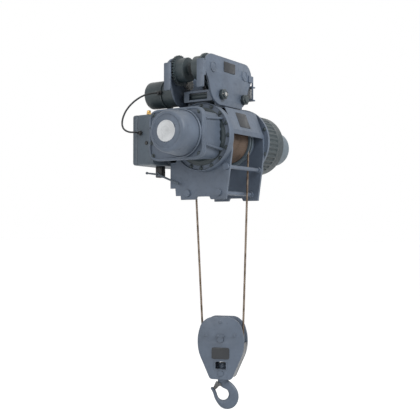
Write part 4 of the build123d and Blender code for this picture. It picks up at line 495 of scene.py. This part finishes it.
def plate_part(outlines, low, high, edge, axis):
    """A flat plate with holes: closed outlines thickened from low to high along an axis, edges rounded."""
    flat = bpy.data.curves.new("plate", "CURVE")
    flat.dimensions = "2D"
    flat.fill_mode = "BOTH"
    flat.extrude = (high - low) / 2 - edge
    flat.bevel_depth = edge
    flat.bevel_resolution = 1
    flat.offset = -edge
    for points in outlines:
        spline = flat.splines.new("POLY")
        count = len(points)
        spline.points.add(count - 1)
        spline.points.foreach_set("co", np.column_stack([points, np.zeros(count), np.ones(count)]).ravel())
        spline.use_cyclic_u = True
    holder = bpy.data.objects.new("plate", flat)
    mesh = bpy.data.meshes.new_from_object(holder)
    place = np.zeros(len(mesh.vertices) * 3)
    mesh.vertices.foreach_get("co", place)
    place = place.reshape(-1, 3)
    faces = [list(face.vertices) for face in mesh.polygons]
    bpy.data.objects.remove(holder)
    bpy.data.curves.remove(flat)
    bpy.data.meshes.remove(mesh)
    across, up, along = place[:, 0], place[:, 1], place[:, 2] + (low + high) / 2
    order = {"x": (along, across, up), "y": (across, along, up), "z": (across, up, along)}[axis]
    return np.stack(order, -1), faces


def bolt_part(axis, centre, base, direction, radius, height, washer=True):
    """A hexagon bolt head with a chamfered crown, on a round washer, standing on a plane across an axis."""
    corners = np.linspace(0.0, 2 * math.pi, 6, endpoint=False) + 0.3
    start = 0.22 * radius if washer else 0.0
    rings = [(0.0, radius), (height * 0.78, radius), (height, radius * 0.80), (height + 0.01, 0.0)]
    points = [[(start + t, r * math.cos(a), r * math.sin(a)) for a in corners] for t, r in rings]
    parts = [np.array(points)]
    if washer:
        around = np.linspace(0.0, 2 * math.pi, 20, endpoint=False)
        rim = [(0.0, radius * 1.5), (start * 0.8, radius * 1.5), (start, radius * 1.42), (start, 0.0)]
        parts.append(np.array([[(t, r * math.cos(a), r * math.sin(a)) for a in around] for t, r in rim]))
    made = []
    for grid in parts:
        along = base + direction * grid[..., 0]
        across = centre[0] + grid[..., 1]
        up = centre[1] + grid[..., 2]
        order = {"x": (along, across, up), "y": (across, along, up), "z": (across, up, along)}[axis]
        made.append(grid_part(np.stack(order, -1), wrap_columns=True))
    return made


cheek_half = [(56, -1043), (92, -1071), (106, -1121), (109, -1157), (103, -1205), (50, -1323)]
cheek_corners = cheek_half + [(-s, z) for s, z in reversed(cheek_half)]
cheek_line = rounded_outline(cheek_corners, [18, 26, 24, 22, 30, 12, 12, 30, 22, 24, 26, 18], 7)
cheek_inner = 34
cheek_thickness = 9
cheek_outer = cheek_inner + cheek_thickness
block_parts = []
guard_parts = []
window = rounded_outline([(-25, -1278.3), (25, -1278.3), (25, -1242.3), (-25, -1242.3)], 5.0, 4)
axle_hole = circle_outline((0, -1143), 14.3)
trunnion_hole = circle_outline((0, -1296), 13.1)
cheek_outlines = [cheek_line, axle_hole, trunnion_hole, window]
for low in (-cheek_outer, cheek_inner):
    block_parts.append(plate_part(cheek_outlines, low, low + cheek_thickness, 1.2, "x"))
spacer_profile = [(-cheek_inner, 0), (-cheek_inner, 8), (cheek_inner, 8), (cheek_inner, 0)]
guard_steps = 13
guard_route = [(106, -1158), (101.5, -1204), (53, -1314)]
for side in (-1, 1):
    block_parts.append(turned_part(spacer_profile, "x", (0, side * 74, -1238), 24))
    guard_line = smooth_rows(guard_route, guard_steps) * [side, 1]
    layers = [np.stack([np.full(guard_steps, a), guard_line[:, 0] - side * depth, guard_line[:, 1]], -1)
              for a, depth in ((-33.9, 0), (33.9, 0), (33.9, 3.5), (-33.9, 3.5))]
    guard_parts.append(grid_part(np.stack(layers, 1), wrap_columns=True, cap_first=True, cap_last=True))
keeper_thickness = 5
keeper_line = rounded_outline([(-19, -1134), (19, -1134), (19, -1121), (-19, -1121)], 3.0, 3)
border_thickness = 2.2
border_line = rounded_outline([(-30, -1283), (30, -1283), (30, -1238), (-30, -1238)], 8.0, 4)
for face, out in ((-cheek_outer, -1), (cheek_outer, 1)):
    keeper_face = face + out * keeper_thickness
    block_parts.append(plate_part([keeper_line], *sorted((face, keeper_face)), 0.6, "x"))
    for s in (-13, 13):
        block_parts += bolt_part("x", (s, -1127.5), keeper_face, out, 4.2, 3.5)
    for s, z in ((-66, -1124), (66, -1124), (0, -1063)):
        block_parts += bolt_part("x", (s, z), face, out, 6.0, 4.2)
    border_face = face + out * border_thickness
    block_parts.append(plate_part([border_line, window], *sorted((face, border_face)), 0.5, "x"))
make_piece("block_side_plates", [on_block(mm(part)) for part in block_parts], slate_enamel, "hook_block",
           ("block_cheeks",), sharp=35.0)
# The side guards are painted near-black: painted shade for the dark space between the cheeks.
make_piece("block_side_guards", [on_block(mm(part)) for part in guard_parts], dark_plate_and_painted_shade, "hook_block",
           ("block_cheeks",), sharp=35.0)

# The block's load plate, left bare: flat sheet with round corners, held to the near cheek by four rivets.
# It stands under the axle's keeper and over the window.
label_line = rounded_outline([(-41, -1231), (41, -1231), (41, -1179), (-41, -1179)], 9.0, 5)
rivet_profile = [(-45, 2.6), (-45.8, 2.2), (-46.2, 0)]
load_plate = [plate_part([label_line], -45, -cheek_outer, 0.5, "x")]
load_plate += [turned_part(rivet_profile, "x", (0, s, z), 14) for s in (-35, 35) for z in (-1225, -1185)]
make_piece("block_bare_plate", [on_block(mm(part)) for part in load_plate], dark_plate_and_painted_shade, "hook_block",
           ("block_plate",), sharp=35.0)

# The wire rope: six strands laid round a core, greased and brown with dust.
# One length winds on the drum, two stretches fall to the block, and a half turn goes round the sheave.
def laid_rope(path, radius, lay, sides=24):
    """A rope along a path: its radius dips between six strands, and these turn once round it in each lay."""
    path = np.asarray(path, float)
    along = np.gradient(path, axis=0)
    along /= np.linalg.norm(along, axis=1)[:, None]
    side = np.zeros_like(path)
    start = np.cross(along[0], [0.31, 0.52, 0.79])
    side[0] = start / np.linalg.norm(start)
    for step in range(1, len(path)):
        carried = side[step - 1] - along[step] * np.dot(side[step - 1], along[step])
        side[step] = carried / np.linalg.norm(carried)
    other = np.cross(along, side)
    gone = np.concatenate([[0.0], np.cumsum(np.linalg.norm(np.diff(path, axis=0), axis=1))])
    around = np.linspace(0.0, 2 * math.pi, sides, endpoint=False)
    turn = around[None, :] + 2 * math.pi * gone[:, None] / lay
    reach = radius * (0.80 + 0.20 * np.abs(np.cos(3 * around)) ** 0.8)[None, :, None]
    ring = np.cos(turn)[..., None] * side[:, None] + np.sin(turn)[..., None] * other[:, None]
    return grid_part(path[:, None] + reach * ring, wrap_columns=True, cap_first=True, cap_last=True)


rope_radius = 4.9
rope_lay = 58.0
sheave_z = -1142.7
fall_ends = {
    "fall_drum_side": [(150.0, -113.8, -240.0), (140.05, -88.4, sheave_z)],
    "fall_anchor_side": [(72.0, 121.0, -492.3), (81.95, 90.4, sheave_z)],
}
for node, (top, bottom) in fall_ends.items():
    straight = np.linspace(top, bottom, 260)
    stranded = mm(laid_rope(straight, rope_radius, rope_lay))
    strand_mesh = bpy.data.meshes.new("rope_" + node)
    strand_mesh.from_pydata(stranded[0].tolist(), [], stranded[1])
    strand_mesh.shade_smooth()
    strand_mesh.materials.append(rope_steel)
    rope_fall = bpy.data.objects.new("rope_" + node, strand_mesh)
    bpy.context.scene.collection.objects.link(rope_fall)
    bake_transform(rope_fall)
    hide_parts(node)

sheave_bend = 94
sheave_steps = 120
half_turn = np.linspace(math.pi, 2 * math.pi, sheave_steps)
sheave_path = np.stack([np.zeros(sheave_steps), sheave_bend * np.cos(half_turn),
                        sheave_z + sheave_bend * np.sin(half_turn)], -1)
sheave_rope = on_block(mm(laid_rope(sheave_path, rope_radius, rope_lay)))
make_piece("rope_sheave_turn", [sheave_rope], rope_steel, "hook_block",
           ("rope_on_sheave",), sharp=80.0)

drum_rope = moulded("drum_rope", (0.125, 0.085, 0.062), (0.065, 0.045, 0.034), 0.62)
drum_axis = (-15, -240)
winding_turns = 18
winding_start = -35.1
winding_pitch = 10.0
winding_radius = 98.5
wound = np.linspace(0.0, winding_turns * 2 * math.pi, winding_turns * 72)
winding_path = np.stack([winding_start + winding_pitch * wound / (2 * math.pi),
                         drum_axis[0] + winding_radius * np.cos(wound),
                         drum_axis[1] + winding_radius * np.sin(wound)], -1)
winding = mm(laid_rope(winding_path, rope_radius, rope_lay, sides=18))
make_piece("rope_drum_winding", [winding], drum_rope, "drum", ("rope_winding",), sharp=80.0)

# The near cover of the gear case: a flat flange, and a turned dome with a groove round its front face.
# Three cast arrow marks stand round the middle, and the flange's rim is a raised border.
cover_corners = [(-126, -351), (157, -351), (157, -129), (-126, -129)]
cover_line = rounded_outline(cover_corners, 50.0, 12)
cover_face = -241
cover_back = -231
cover_opening = circle_outline(drum_axis, 97.0, 72)
cover_parts = [plate_part([cover_line, cover_opening], cover_face, cover_back, 2.5, "x")]
rim_outer = rounded_outline([(-124, -349), (155, -349), (155, -131), (-124, -131)], 48.0, 12)
rim_inner = rounded_outline([(-115, -340), (146, -340), (146, -140), (-115, -140)], 42.0, 12)
cover_parts.append(plate_part([rim_outer, rim_inner], -246, -240, 2.0, "x"))
dome_profile = [(-236, 96), (-244, 104), (-250, 104), (-253, 102.5), (-254, 100.5), (-251, 97.2),
                (-254, 96.4), (-272, 95.4), (-310, 91.5), (-335, 89), (-345, 87), (-351, 83), (-354.4, 77),
                (-355, 71.5), (-353.2, 70), (-353.2, 67.6), (-355, 66), (-355, 0)]
cover_parts.append(turned_part(dome_profile, "x", (0, *drum_axis), 128))
arrow_count = 3
tip, shoulder, notch = 57.0, 47.0, 51.0
for number in range(arrow_count):
    angle = math.radians(35 + 360 // arrow_count * number)
    out = np.array([math.cos(angle), math.sin(angle)])
    sideways = np.array([-out[1], out[0]])
    chevron = [out * tip, out * shoulder + sideways * 9, out * (shoulder - 1) + sideways * 5, out * notch,
               out * (shoulder - 1) - sideways * 5, out * shoulder - sideways * 9]
    cover_parts.append(plate_part([np.array(chevron) + drum_axis], -357.2, -354, 0.5, "x"))
make_piece("gear_cover", [mm(part) for part in cover_parts], slate_casting, "frame",
           ("gear_case_cover",), sharp=50.0)

# The bare round plate in the middle of the cover: pressed sheet with a raised border and ring.
# The plates on the trolley's side plate and on the drum's guard are flat sheet, held by four rivets each.
disc_profile = [(-355, 45), (-356.2, 45), (-357.0, 44.2), (-357.0, 40.5), (-356.1, 39.8), (-356.1, 22),
                (-356.9, 21.3), (-356.9, 17.5), (-356.1, 16.8), (-356.1, 0)]
cover_disc = turned_part(disc_profile, "x", (0, *drum_axis), 96)
make_piece("cover_bare_disc", [mm(cover_disc)], pale_plate, "frame",
           ("bare_plates",), sharp=45.0)

trolley_label = rounded_outline([(-47, 45.5), (47, 45.5), (47, 90.5), (-47, 90.5)], 4.0, 4)
trolley_rivet = [(-105, 2.4), (-105.9, 2.0), (-106.3, 0)]
label_parts = [plate_part([trolley_label], -105, -103, 0.5, "y")]
for x in (-42, 42):
    for z in (50, 86):
        label_parts.append(turned_part(trolley_rivet, "y", (x, 0, z), 14))
slope_low = np.array([-152.0, -208.0])
slope_high = np.array([-112.0, -112.0])
slope = (slope_high - slope_low) / np.linalg.norm(slope_high - slope_low)
lifted = np.array([-slope[1], slope[0]])
guard_label = rounded_outline([(24, 16), (112, 16), (112, 88), (24, 88)], 4.0, 4)
guard_rivet = [(2.0, 2.4), (2.9, 2.0), (3.3, 0)]
guard_sheet = [plate_part([guard_label], 0, 2.0, 0.5, "z")]
guard_sheet += [turned_part(guard_rivet, "z", (x, s, 0), 14) for x in (29, 107) for s in (21, 83)]
for points, faces in guard_sheet:
    on_slope = slope_low + points[:, 1:2] * slope + points[:, 2:3] * lifted
    label_parts.append((np.column_stack([points[:, 0], on_slope]), faces))
make_piece("bare_labels", [mm(part) for part in label_parts], dark_plate_and_painted_shade, "frame",
           ("bare_plates",), sharp=35.0)

# The gear case: a box with a rim, cast in one with the round flange that bolts to the frame.
# On its near side two ribs frame a flat pad, whose far edge is scalloped round the flange's bolts.
# The bottom of the flange's recess is a ring of its own, painted near-black as painted shade in the recess.
body_line = rounded_outline([(-115, -340), (146, -340), (146, -140), (-115, -140)], 44.0, 12)
case_parts = [plate_part([body_line], -228, -98, 3.0, "x")]
case_parts.append(plate_part([cover_line], cover_back, cover_back + 12, 2.5, "x"))
flange_profile = [(-96, 60), (-96, 116), (-94, 118), (-94, 126), (-92, 128), (-91, 144), (-96, 145.5),
                  (-98, 147), (-98, 149), (-97, 150), (-62, 150), (-62, 116)]
case_parts.append(turned_part(flange_profile, "x", (0, *drum_axis), 128))
recess_profile = [(-96.4, 100), (-97.2, 104), (-97.0, 115), (-95.0, 117), (-95.0, 126.4), (-93, 127.2),
                  (-92.4, 100)]
recess = turned_part(recess_profile, "x", (0, *drum_axis), 128)
make_piece("flange_recess_painted_shade", [mm(recess)], drive_enamel_and_painted_shade, "frame",
           ("gear_case_body",), sharp=50.0)
pad_line = [(-219, -180), (-112, -172), (-104, -186), (-112, -202), (-100, -214), (-112, -228), (-104, -242),
            (-112, -258), (-100, -270), (-110, -284), (-112, -296), (-219, -287)]
case_wall = -112
case_parts.append(plate_part([rounded_outline(pad_line, 9.0, 5)], -122.5, case_wall, 1.2, "y"))
for (x0, z0), (x1, z1) in (((-222, -178), (-99, -167)), ((-222, -290), (-99, -301))):
    rib = np.array([(x0, z0 - 4), (x1, z1 - 5), (x1, z1 + 5), (x0, z0 + 4)])
    case_parts.append(plate_part([rib], -130, case_wall, 1.6, "y"))
make_piece("gear_case", [mm(part) for part in case_parts], slate_casting, "frame",
           ("gear_case_body",), sharp=50.0)

# The screws of the gear case: hexagon heads on washers round the cover's rim and round the flange.
# Those of the far flange hold the hoist motor to the far frame plate, and four hold the control box's lid.
case_screw_circle = 138
case_screw_step = 22.5
bare_half_angle = 55
far_screw_circle = 149
far_screw_step = 45
screw_parts = []
for y, z in ((-103.3, 88.3), (134.3, 88.3), (144.0, 32.7)):
    for side in (-1, 1):
        screw_parts += bolt_part("x", (y, drum_axis[1] + side * z), cover_face, -1, 6.5, 7.0)
for step in range(16):
    angle = math.radians(case_screw_step * step)
    if math.cos(angle) > math.cos(math.radians(bare_half_angle)):
        continue
    spot = drum_axis + case_screw_circle * np.array([math.cos(angle), math.sin(angle)])
    screw_parts += bolt_part("x", spot, -91.5, -1, 6.5, 6.0)
for step in range(8):
    angle = math.radians(far_screw_step * step + 22.5)
    spot = drum_axis + far_screw_circle * np.array([math.cos(angle), math.sin(angle)])
    screw_parts += bolt_part("x", spot, 229, -1, 6.0, 5.5)
for x in (-163, 89):
    for z in (-344, -146):
        screw_parts += bolt_part("y", (x, z), 299, 1, 5.0, 4.5, washer=False)
make_piece("case_bolts", [mm(part) for part in screw_parts], drive_enamel_and_painted_shade, "frame",
           ("case_screws",), sharp=35.0)

# The hoist motor's shell: a dark casting with shallow cooling fins between two plain bands.
# The fins are low waves with flat tops and flat valleys, and run along the shell.
shell_steps = 640
fin_count = 40
fin_foot = 135.5
fin_height = 5.0
around_shell = np.linspace(0.0, 2 * math.pi, shell_steps, endpoint=False)
fin_wave = fin_foot + fin_height * np.clip(0.35 + 0.9 * np.cos(fin_count * around_shell), 0.0, 1.0)
shell_stations = [(243.3, 110, 0), (243.3, 131, 0), (244.5, 132, 0), (253, 132, 0), (257, 134, 1),
                  (352, 134, 1), (356, 141, 0), (367, 141, 0), (368, 140, 0), (368, 110, 0)]
shell_rows = []
for x, plain, finned in shell_stations:
    reach = fin_wave if finned else np.full(shell_steps, float(plain))
    shell_rows.append(np.stack([np.full(shell_steps, x), drum_axis[0] + reach * np.cos(around_shell),
                                drum_axis[1] + reach * np.sin(around_shell)], -1))
motor_shell = grid_part(np.array(shell_rows), wrap_columns=True)
make_piece("motor_shell", [mm(motor_shell)], drive_enamel_and_painted_shade, "frame",
           ("motor_housing",), sharp=50.0)

# The control box: a pressed steel box with soft corners, and a shallow lid with a dark seam between.
# The box hangs on a bracket from the near frame plate.
# The box's enamel is a darker slate than the hoist's, as painted shade on the box; the limit lever takes it
# too.
box_enamel_painted_shade = enamel("box_enamel_painted_shade", (0.066, 0.088, 0.112), 0.46, 380.0, 0.0004, 0.5, 0.25)
box_corners = [(-177, -358), (103, -358), (103, -132), (-177, -132)]
box_line = rounded_outline(box_corners, 14.0, 8)
box_back = 184
box_front = 270.4
lid_back = 271.6
lid_front = 299
box_parts = [plate_part([box_line], box_back, box_front, 3.0, "y")]
bracket_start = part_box("control_box")[0][1] * 1000
bracket_corners = [(bracket_start, -345), (190, -345), (190, -235), (bracket_start, -235)]
box_parts.append(plate_part([rounded_outline(bracket_corners, 6.0, 4)], -62, -56, 0.8, "x"))
make_piece("control_box_shell", [mm(part) for part in box_parts], box_enamel_painted_shade, "frame",
           ("control_box",), sharp=40.0)
lid_parts = [plate_part([box_line], lid_back, lid_front, 6.0, "y")]
seam_line = rounded_outline([(-174, -355), (100, -355), (100, -135), (-174, -135)], 12.0, 8)
lid_parts.append(plate_part([seam_line], box_front - 2.4, lid_back + 2.4, 0.5, "y"))
make_piece("control_box_cover", [mm(part) for part in lid_parts], box_enamel_painted_shade, "frame",
           ("control_box_lid",), sharp=40.0)

# The cable glands: a hexagon on the wall and a domed cap that grips the cable, in black.
# The gland on top of the box is brass, and the plug in the box's end wall is a black button.
def gland_parts(start, direction, length):
    """A gland from a wall outward: a hexagon nut, a groove and a domed cap with a mouth for the cable."""
    start = np.asarray(start, float)
    direction = np.asarray(direction, float) / np.linalg.norm(direction)
    side = np.cross(direction, [0.2, 0.3, 0.93])
    side /= np.linalg.norm(side)
    other = np.cross(direction, side)
    seat = length * 0.42
    nut = [(0, 0), (0, 10.4), (0.5, 11), (length * 0.38, 11), (seat, 10), (seat, 0)]
    cap = [(seat, 8.2), (length * 0.5, 9), (length * 0.86, 8.6), (length * 0.97, 6.6), (length, 4.4),
           (length, 0)]
    made = []
    for rings, sides in ((nut, 6), (cap, 24)):
        turn = np.linspace(0.0, 2 * math.pi, sides, endpoint=False)
        grid = [[start + direction * t + r * (side * math.cos(a) + other * math.sin(a)) for a in turn]
                for t, r in rings]
        made.append(grid_part(np.array(grid), wrap_columns=True))
    return made


motor_exit = np.array([-147.0, 186.0, -37.0])
motor_lead = np.array([-31.0, 16.0, -4.0])
motor_lead /= np.linalg.norm(motor_lead)
motor_gland = 21
plug_profile = [(-177, 8), (-181, 8), (-182, 7), (-182.4, 4), (-181.4, 0)]
dark_glands = gland_parts((-177, 253, -215), (-1, 0, 0), 16)
dark_glands += gland_parts(motor_exit - motor_lead * motor_gland, motor_lead, motor_gland)
dark_glands.append(turned_part(plug_profile, "x", (0, 220, -261), 32))
make_piece("black_glands", [mm(part) for part in dark_glands], black_mould, "frame",
           ("cable_glands",), sharp=35.0)
brass_gland = gland_parts((-158, 222, -132), (0, 0, 1), 19)
make_piece("brass_gland", [mm(part) for part in brass_gland], gland_brass, "frame",
           ("cable_glands",), sharp=35.0)

# The trolley motor: a dark round shell with a domed end and a narrow clamping band at the gearbox.
# Its end is sunk a little inside the rim, and its cable's gland stands on the side of the shell.
motor_profile = [(175, 40), (175, 64), (176, 65.5), (183, 65.5), (184, 64), (184, 61.6), (186, 60.6),
                 (188, 62), (262, 62), (268, 60.5), (273, 56.5), (276, 50), (277, 44), (275.5, 42),
                 (275.5, 0)]
trolley_motor = [turned_part(motor_profile, "y", (-67.8, 0, -33.1), 96)]
make_piece("trolley_motor_shell", [mm(part) for part in trolley_motor], drive_enamel_and_painted_shade, "frame",
           ("traverse_motor_housing",), sharp=40.0)

# The nuts on the near ends of the two suspension shafts: a hexagon with a plain round crown.
# A bright pin with a bent end goes through the crown nearer the gear case.
shaft_places = (-62, 120)
shaft_z = -58
nut_rings = [(-106, 0), (-106, 24.5), (-107, 25.5), (-117, 25.5), (-119, 23.5), (-119, 16.4)]
crown_rings = [(-119, 16.4), (-124.5, 16.3), (-126, 14.5), (-126, 0)]
nut_corners = np.linspace(0.0, 2 * math.pi, 6, endpoint=False) + 0.2
around_crown = np.linspace(0.0, 2 * math.pi, 36, endpoint=False)
nut_parts = []
for x in shaft_places:
    for rings, turn in ((nut_rings, nut_corners), (crown_rings, around_crown)):
        grid = [[(x + r * math.cos(a), y, shaft_z + r * math.sin(a)) for a in turn] for y, r in rings]
        nut_parts.append(grid_part(np.array(grid), wrap_columns=True))
pin_x = shaft_places[0]
pin_radius = 2.6
pin_sides = 12
pin_path = [(pin_x - 22, -121, shaft_z), (pin_x - 6, -121, shaft_z), (pin_x + 12, -121, shaft_z),
            (pin_x + 20, -121, shaft_z + 1), (pin_x + 24, -118, shaft_z + 6)]
pin_line = smooth_rows(pin_path, 24)
pin_turn = np.linspace(0.0, 2 * math.pi, pin_sides, endpoint=False)
pin_ring = pin_radius * np.stack([np.zeros(pin_sides), np.cos(pin_turn), np.sin(pin_turn)], -1)
pin_grid = pin_line[:, None] + pin_ring[None]
pin_parts = [grid_part(pin_grid, wrap_columns=True, cap_first=True, cap_last=True)]
pin_parts.append(turned_part([(-125, 9), (-126.2, 8), (-126.4, 0)], "y", (pin_x, 0, shaft_z), 24))
make_piece("suspension_nuts", [mm(part) for part in nut_parts], drive_enamel_and_painted_shade, "frame", sharp=35.0)
make_piece("split_pin", [mm(part) for part in pin_parts], bright_steel, "frame", sharp=50.0)

# The trolley's side plates: thick plate with rounded shoulders, and a bent sweep at the driven end.
# Each stands on its own side of the beam and carries two wheels' axles and the suspension shafts.
plate_half = [(88, -104), (121, -90), (141, -69), (155, -43), (167, -5), (195, 30), (195, 74), (161, 108)]
plate_corners = plate_half + [(-x, z) for x, z in reversed(plate_half)]
plate_radii = [20, 18, 16, 16, 14, 18, 22, 26]
plate_line = rounded_outline(plate_corners, plate_radii + plate_radii[::-1], 8)
plate_inner = 93
plate_outer = 103
sweep_inner = 68
axle_places = (-131, 131)
axle_z = 53
plate_bores = [circle_outline((x, axle_z), 14, 28) for x in axle_places]
plate_bores += [circle_outline((x, shaft_z), 16.3, 28) for x in shaft_places]
for side, node in ((-1, "trolley_near_plate"), (1, "trolley_far_plate")):
    low, high = sorted((side * plate_inner, side * plate_outer))
    trolley_parts = [plate_part([plate_line] + plate_bores, low, high, 1.6, "y")]
    sweep_near, sweep_far = sorted((side * sweep_inner, side * plate_outer))
    sweep = rounded_outline([(sweep_near, -43), (sweep_far, -43), (sweep_far, 78), (sweep_near, 78)], 5.0, 4)
    trolley_parts.append(plate_part([sweep], -209, -201, 1.4, "x"))
    web = rounded_outline([(-205, 7), (-190, 7), (-190, 70), (-205, 70)], 2.0, 3)
    trolley_parts.append(plate_part([web], low + 0.3, high - 0.3, 0.8, "y"))
    sheet_name = node.replace("trolley", "side").replace("_plate", "_sheet")
    make_piece(sheet_name, [mm(part) for part in trolley_parts], slate_enamel, "frame",
               (node,), sharp=40.0)

# The axles' ends in the side plates: a raised ring with a flat cap sunk in it, painted over.
# There is one at each end of both axles, and only the ring stands out from the plate.
cap_rings = [(103, 24), (105, 23.6), (107.4, 22), (107.8, 20.5), (107.4, 19), (105.4, 18), (105.4, 12),
             (106.2, 11), (106.2, 0)]
cap_parts = []
for side in (-1, 1):
    for x in axle_places:
        cap_parts.append(turned_part([(side * y, r) for y, r in cap_rings], "y", (x, 0, axle_z), 48))
make_piece("axle_end_caps", [mm(part) for part in cap_parts], slate_enamel, "frame",
           ("axle_caps",), sharp=40.0)

# The side guide rollers at the trolley's far end: pale nylon, slightly barrelled, with rounded rims.
# Each turns on the pin of its bracket and runs along the edge of the beam's flange.
roller_x = 218
roller_profile = [(-42, 6.5), (-42, 12), (-40.5, 14.8), (-38, 15.7), (-16, 16), (6, 15.7), (8.5, 14.8),
                  (10, 12), (10, 6.5)]
for name, y in (("front_guide_roller", -80.5), ("back_guide_roller", 80.5)):
    barrel = turned_part(roller_profile, "z", (roller_x, y, 0), 48)
    make_piece("nylon_" + name, [mm(barrel)], roller_polymer, name, (name,), sharp=50.0)

# The upper limit switch: a black body under the control box, with a cover on four screws and a round boss.
# Its lever is a painted strip with an eye at each end and a round hub on the switch's spindle.
lever_hub = np.array([224.0, -396.0])
switch_body = rounded_outline([(207, -410), (241, -410), (241, -358), (207, -358)], 5.0, 4)
switch_cover = rounded_outline([(210, -406), (238, -406), (238, -363), (210, -363)], 4.0, 4)
switch_parts = [plate_part([switch_body], -82, -53, 1.5, "x"), plate_part([switch_cover], -84, -80, 1.0, "x")]
for z in (-402, -367):
    for y in (214, 234):
        switch_parts += bolt_part("x", (y, z), -84, -1, 2.6, 2.0, washer=False)
spindle_profile = [(-82, 9), (-83.8, 8.6), (-84.6, 7.4), (-84.6, 4.1), (-94, 4.1), (-95, 3.2), (-95, 0)]
switch_parts.append(turned_part(spindle_profile, "x", (0, *lever_hub), 32))
make_piece("limit_switch_body", [mm(part) for part in switch_parts], black_mould, "frame",
           ("limit_switch",), sharp=35.0)

eye_profile = [(-92.4, 0), (-92.4, 5.0), (-91.6, 5.8), (-84.4, 5.8), (-83.6, 5.0), (-83.6, 0)]
hub_profile = [(-85.2, 4.3), (-85.2, 8.6), (-86, 9.2), (-91, 9.2), (-92, 8.2), (-92, 4.3)]
lever_parts = []
for end in np.array([(285.0, -388.0), (112.0, -440.0)]):
    reach = end - lever_hub
    reach /= np.linalg.norm(reach)
    up = np.array([-reach[1], reach[0]])
    arm = [lever_hub + up * 4.6, end + up * 3.6, end + reach * 4, end - up * 3.6, lever_hub - up * 4.6]
    lever_parts.append(plate_part([rounded_outline(arm, 3.0, 4)], -90.8, -85.2, 0.8, "x"))
    lever_parts.append(turned_part(eye_profile, "x", (0, *end), 28))
lever_parts.append(turned_part(hub_profile, "x", (0, *lever_hub), 36))
# The lever takes the box's darker slate, which is painted shade.
make_piece("limit_lever_arm", [mm(part) for part in lever_parts], box_enamel_painted_shade, "limit_lever",
           ("limit_lever",), sharp=35.0)

# The floor and the light: a pale studio floor well under the hook, and a white surround behind.
# The key light stands high before the drum's open side, and a broad weak fill shines on the gear case's end.
def seen_white(tree, strength):
    """A strength for the camera's, mirrors' and glass's rays, and none for the rays that light the object."""
    path = tree.nodes.new("ShaderNodeLightPath")
    seen = tree.nodes.new("ShaderNodeMath")
    seen.operation = "MAXIMUM"
    tree.links.new(path.outputs["Is Camera Ray"], seen.inputs[0])
    tree.links.new(path.outputs["Is Glossy Ray"], seen.inputs[1])
    clear = tree.nodes.new("ShaderNodeMath")
    clear.operation = "MAXIMUM"
    tree.links.new(seen.outputs["Value"], clear.inputs[0])
    tree.links.new(path.outputs["Is Transmission Ray"], clear.inputs[1])
    amount = tree.nodes.new("ShaderNodeMath")
    amount.operation = "MULTIPLY"
    amount.inputs[1].default_value = strength
    tree.links.new(clear.outputs["Value"], amount.inputs[0])
    return amount.outputs["Value"]


floor_finish, floor_tree, floor_shader = new_finish("studio_floor")
floor_shader.inputs["Base Color"].default_value = (0.80, 0.80, 0.79, 1.0)
floor_shader.inputs["Roughness"].default_value = 0.9
floor_shader.inputs["Emission Color"].default_value = (1.0, 1.0, 1.0, 1.0)
floor_tree.links.new(seen_white(floor_tree, 0.62), floor_shader.inputs["Emission Strength"])
floor_half = 70.0
floor_z = -1.75
floor_mesh = bpy.data.meshes.new("studio_floor")
floor_corners = [(-1, -1), (1, -1), (1, 1), (-1, 1)]
floor_points = [(x * floor_half, y * floor_half, floor_z) for x, y in floor_corners]
floor_mesh.from_pydata(floor_points, [], [(0, 1, 2, 3)])
floor_mesh.materials.append(floor_finish)
studio_floor = bpy.data.objects.new("studio_floor", floor_mesh)
bpy.context.scene.collection.objects.link(studio_floor)

surround = bpy.data.worlds.new("surround")
bpy.context.scene.world = surround
surround.use_nodes = True
surround_light = surround.node_tree.nodes["Background"]
surround_light.inputs["Color"].default_value = (1.0, 1.0, 1.0, 1.0)
surround_seen = seen_white(surround.node_tree, 1.0)
surround_strength = between(surround.node_tree, surround_seen, 0.42, 1.0)
surround.node_tree.links.new(surround_strength, surround_light.inputs["Strength"])


def area_light(name, place, aim, size, power):
    """A square soft light that looks at a point."""
    data = bpy.data.lights.new(name, "AREA")
    data.size = size
    data.energy = power
    lamp = bpy.data.objects.new(name, data)
    away = np.array(place) - np.array(aim)
    level = math.hypot(away[0], away[1])
    lamp.location = place
    lamp.rotation_euler = (math.atan2(level, away[2]), 0.0, math.atan2(away[0], -away[1]))
    bpy.context.scene.collection.objects.link(lamp)


area_light("key_light", (-0.8, -4.2, 2.6), (0.1, 0.0, -0.4), 2.2, 190.0)
area_light("fill_light", (-4.5, 0.6, 0.6), (0.0, 0.0, -0.5), 2.5, 60.0)

bpy.context.scene.view_settings.view_transform = "Standard"
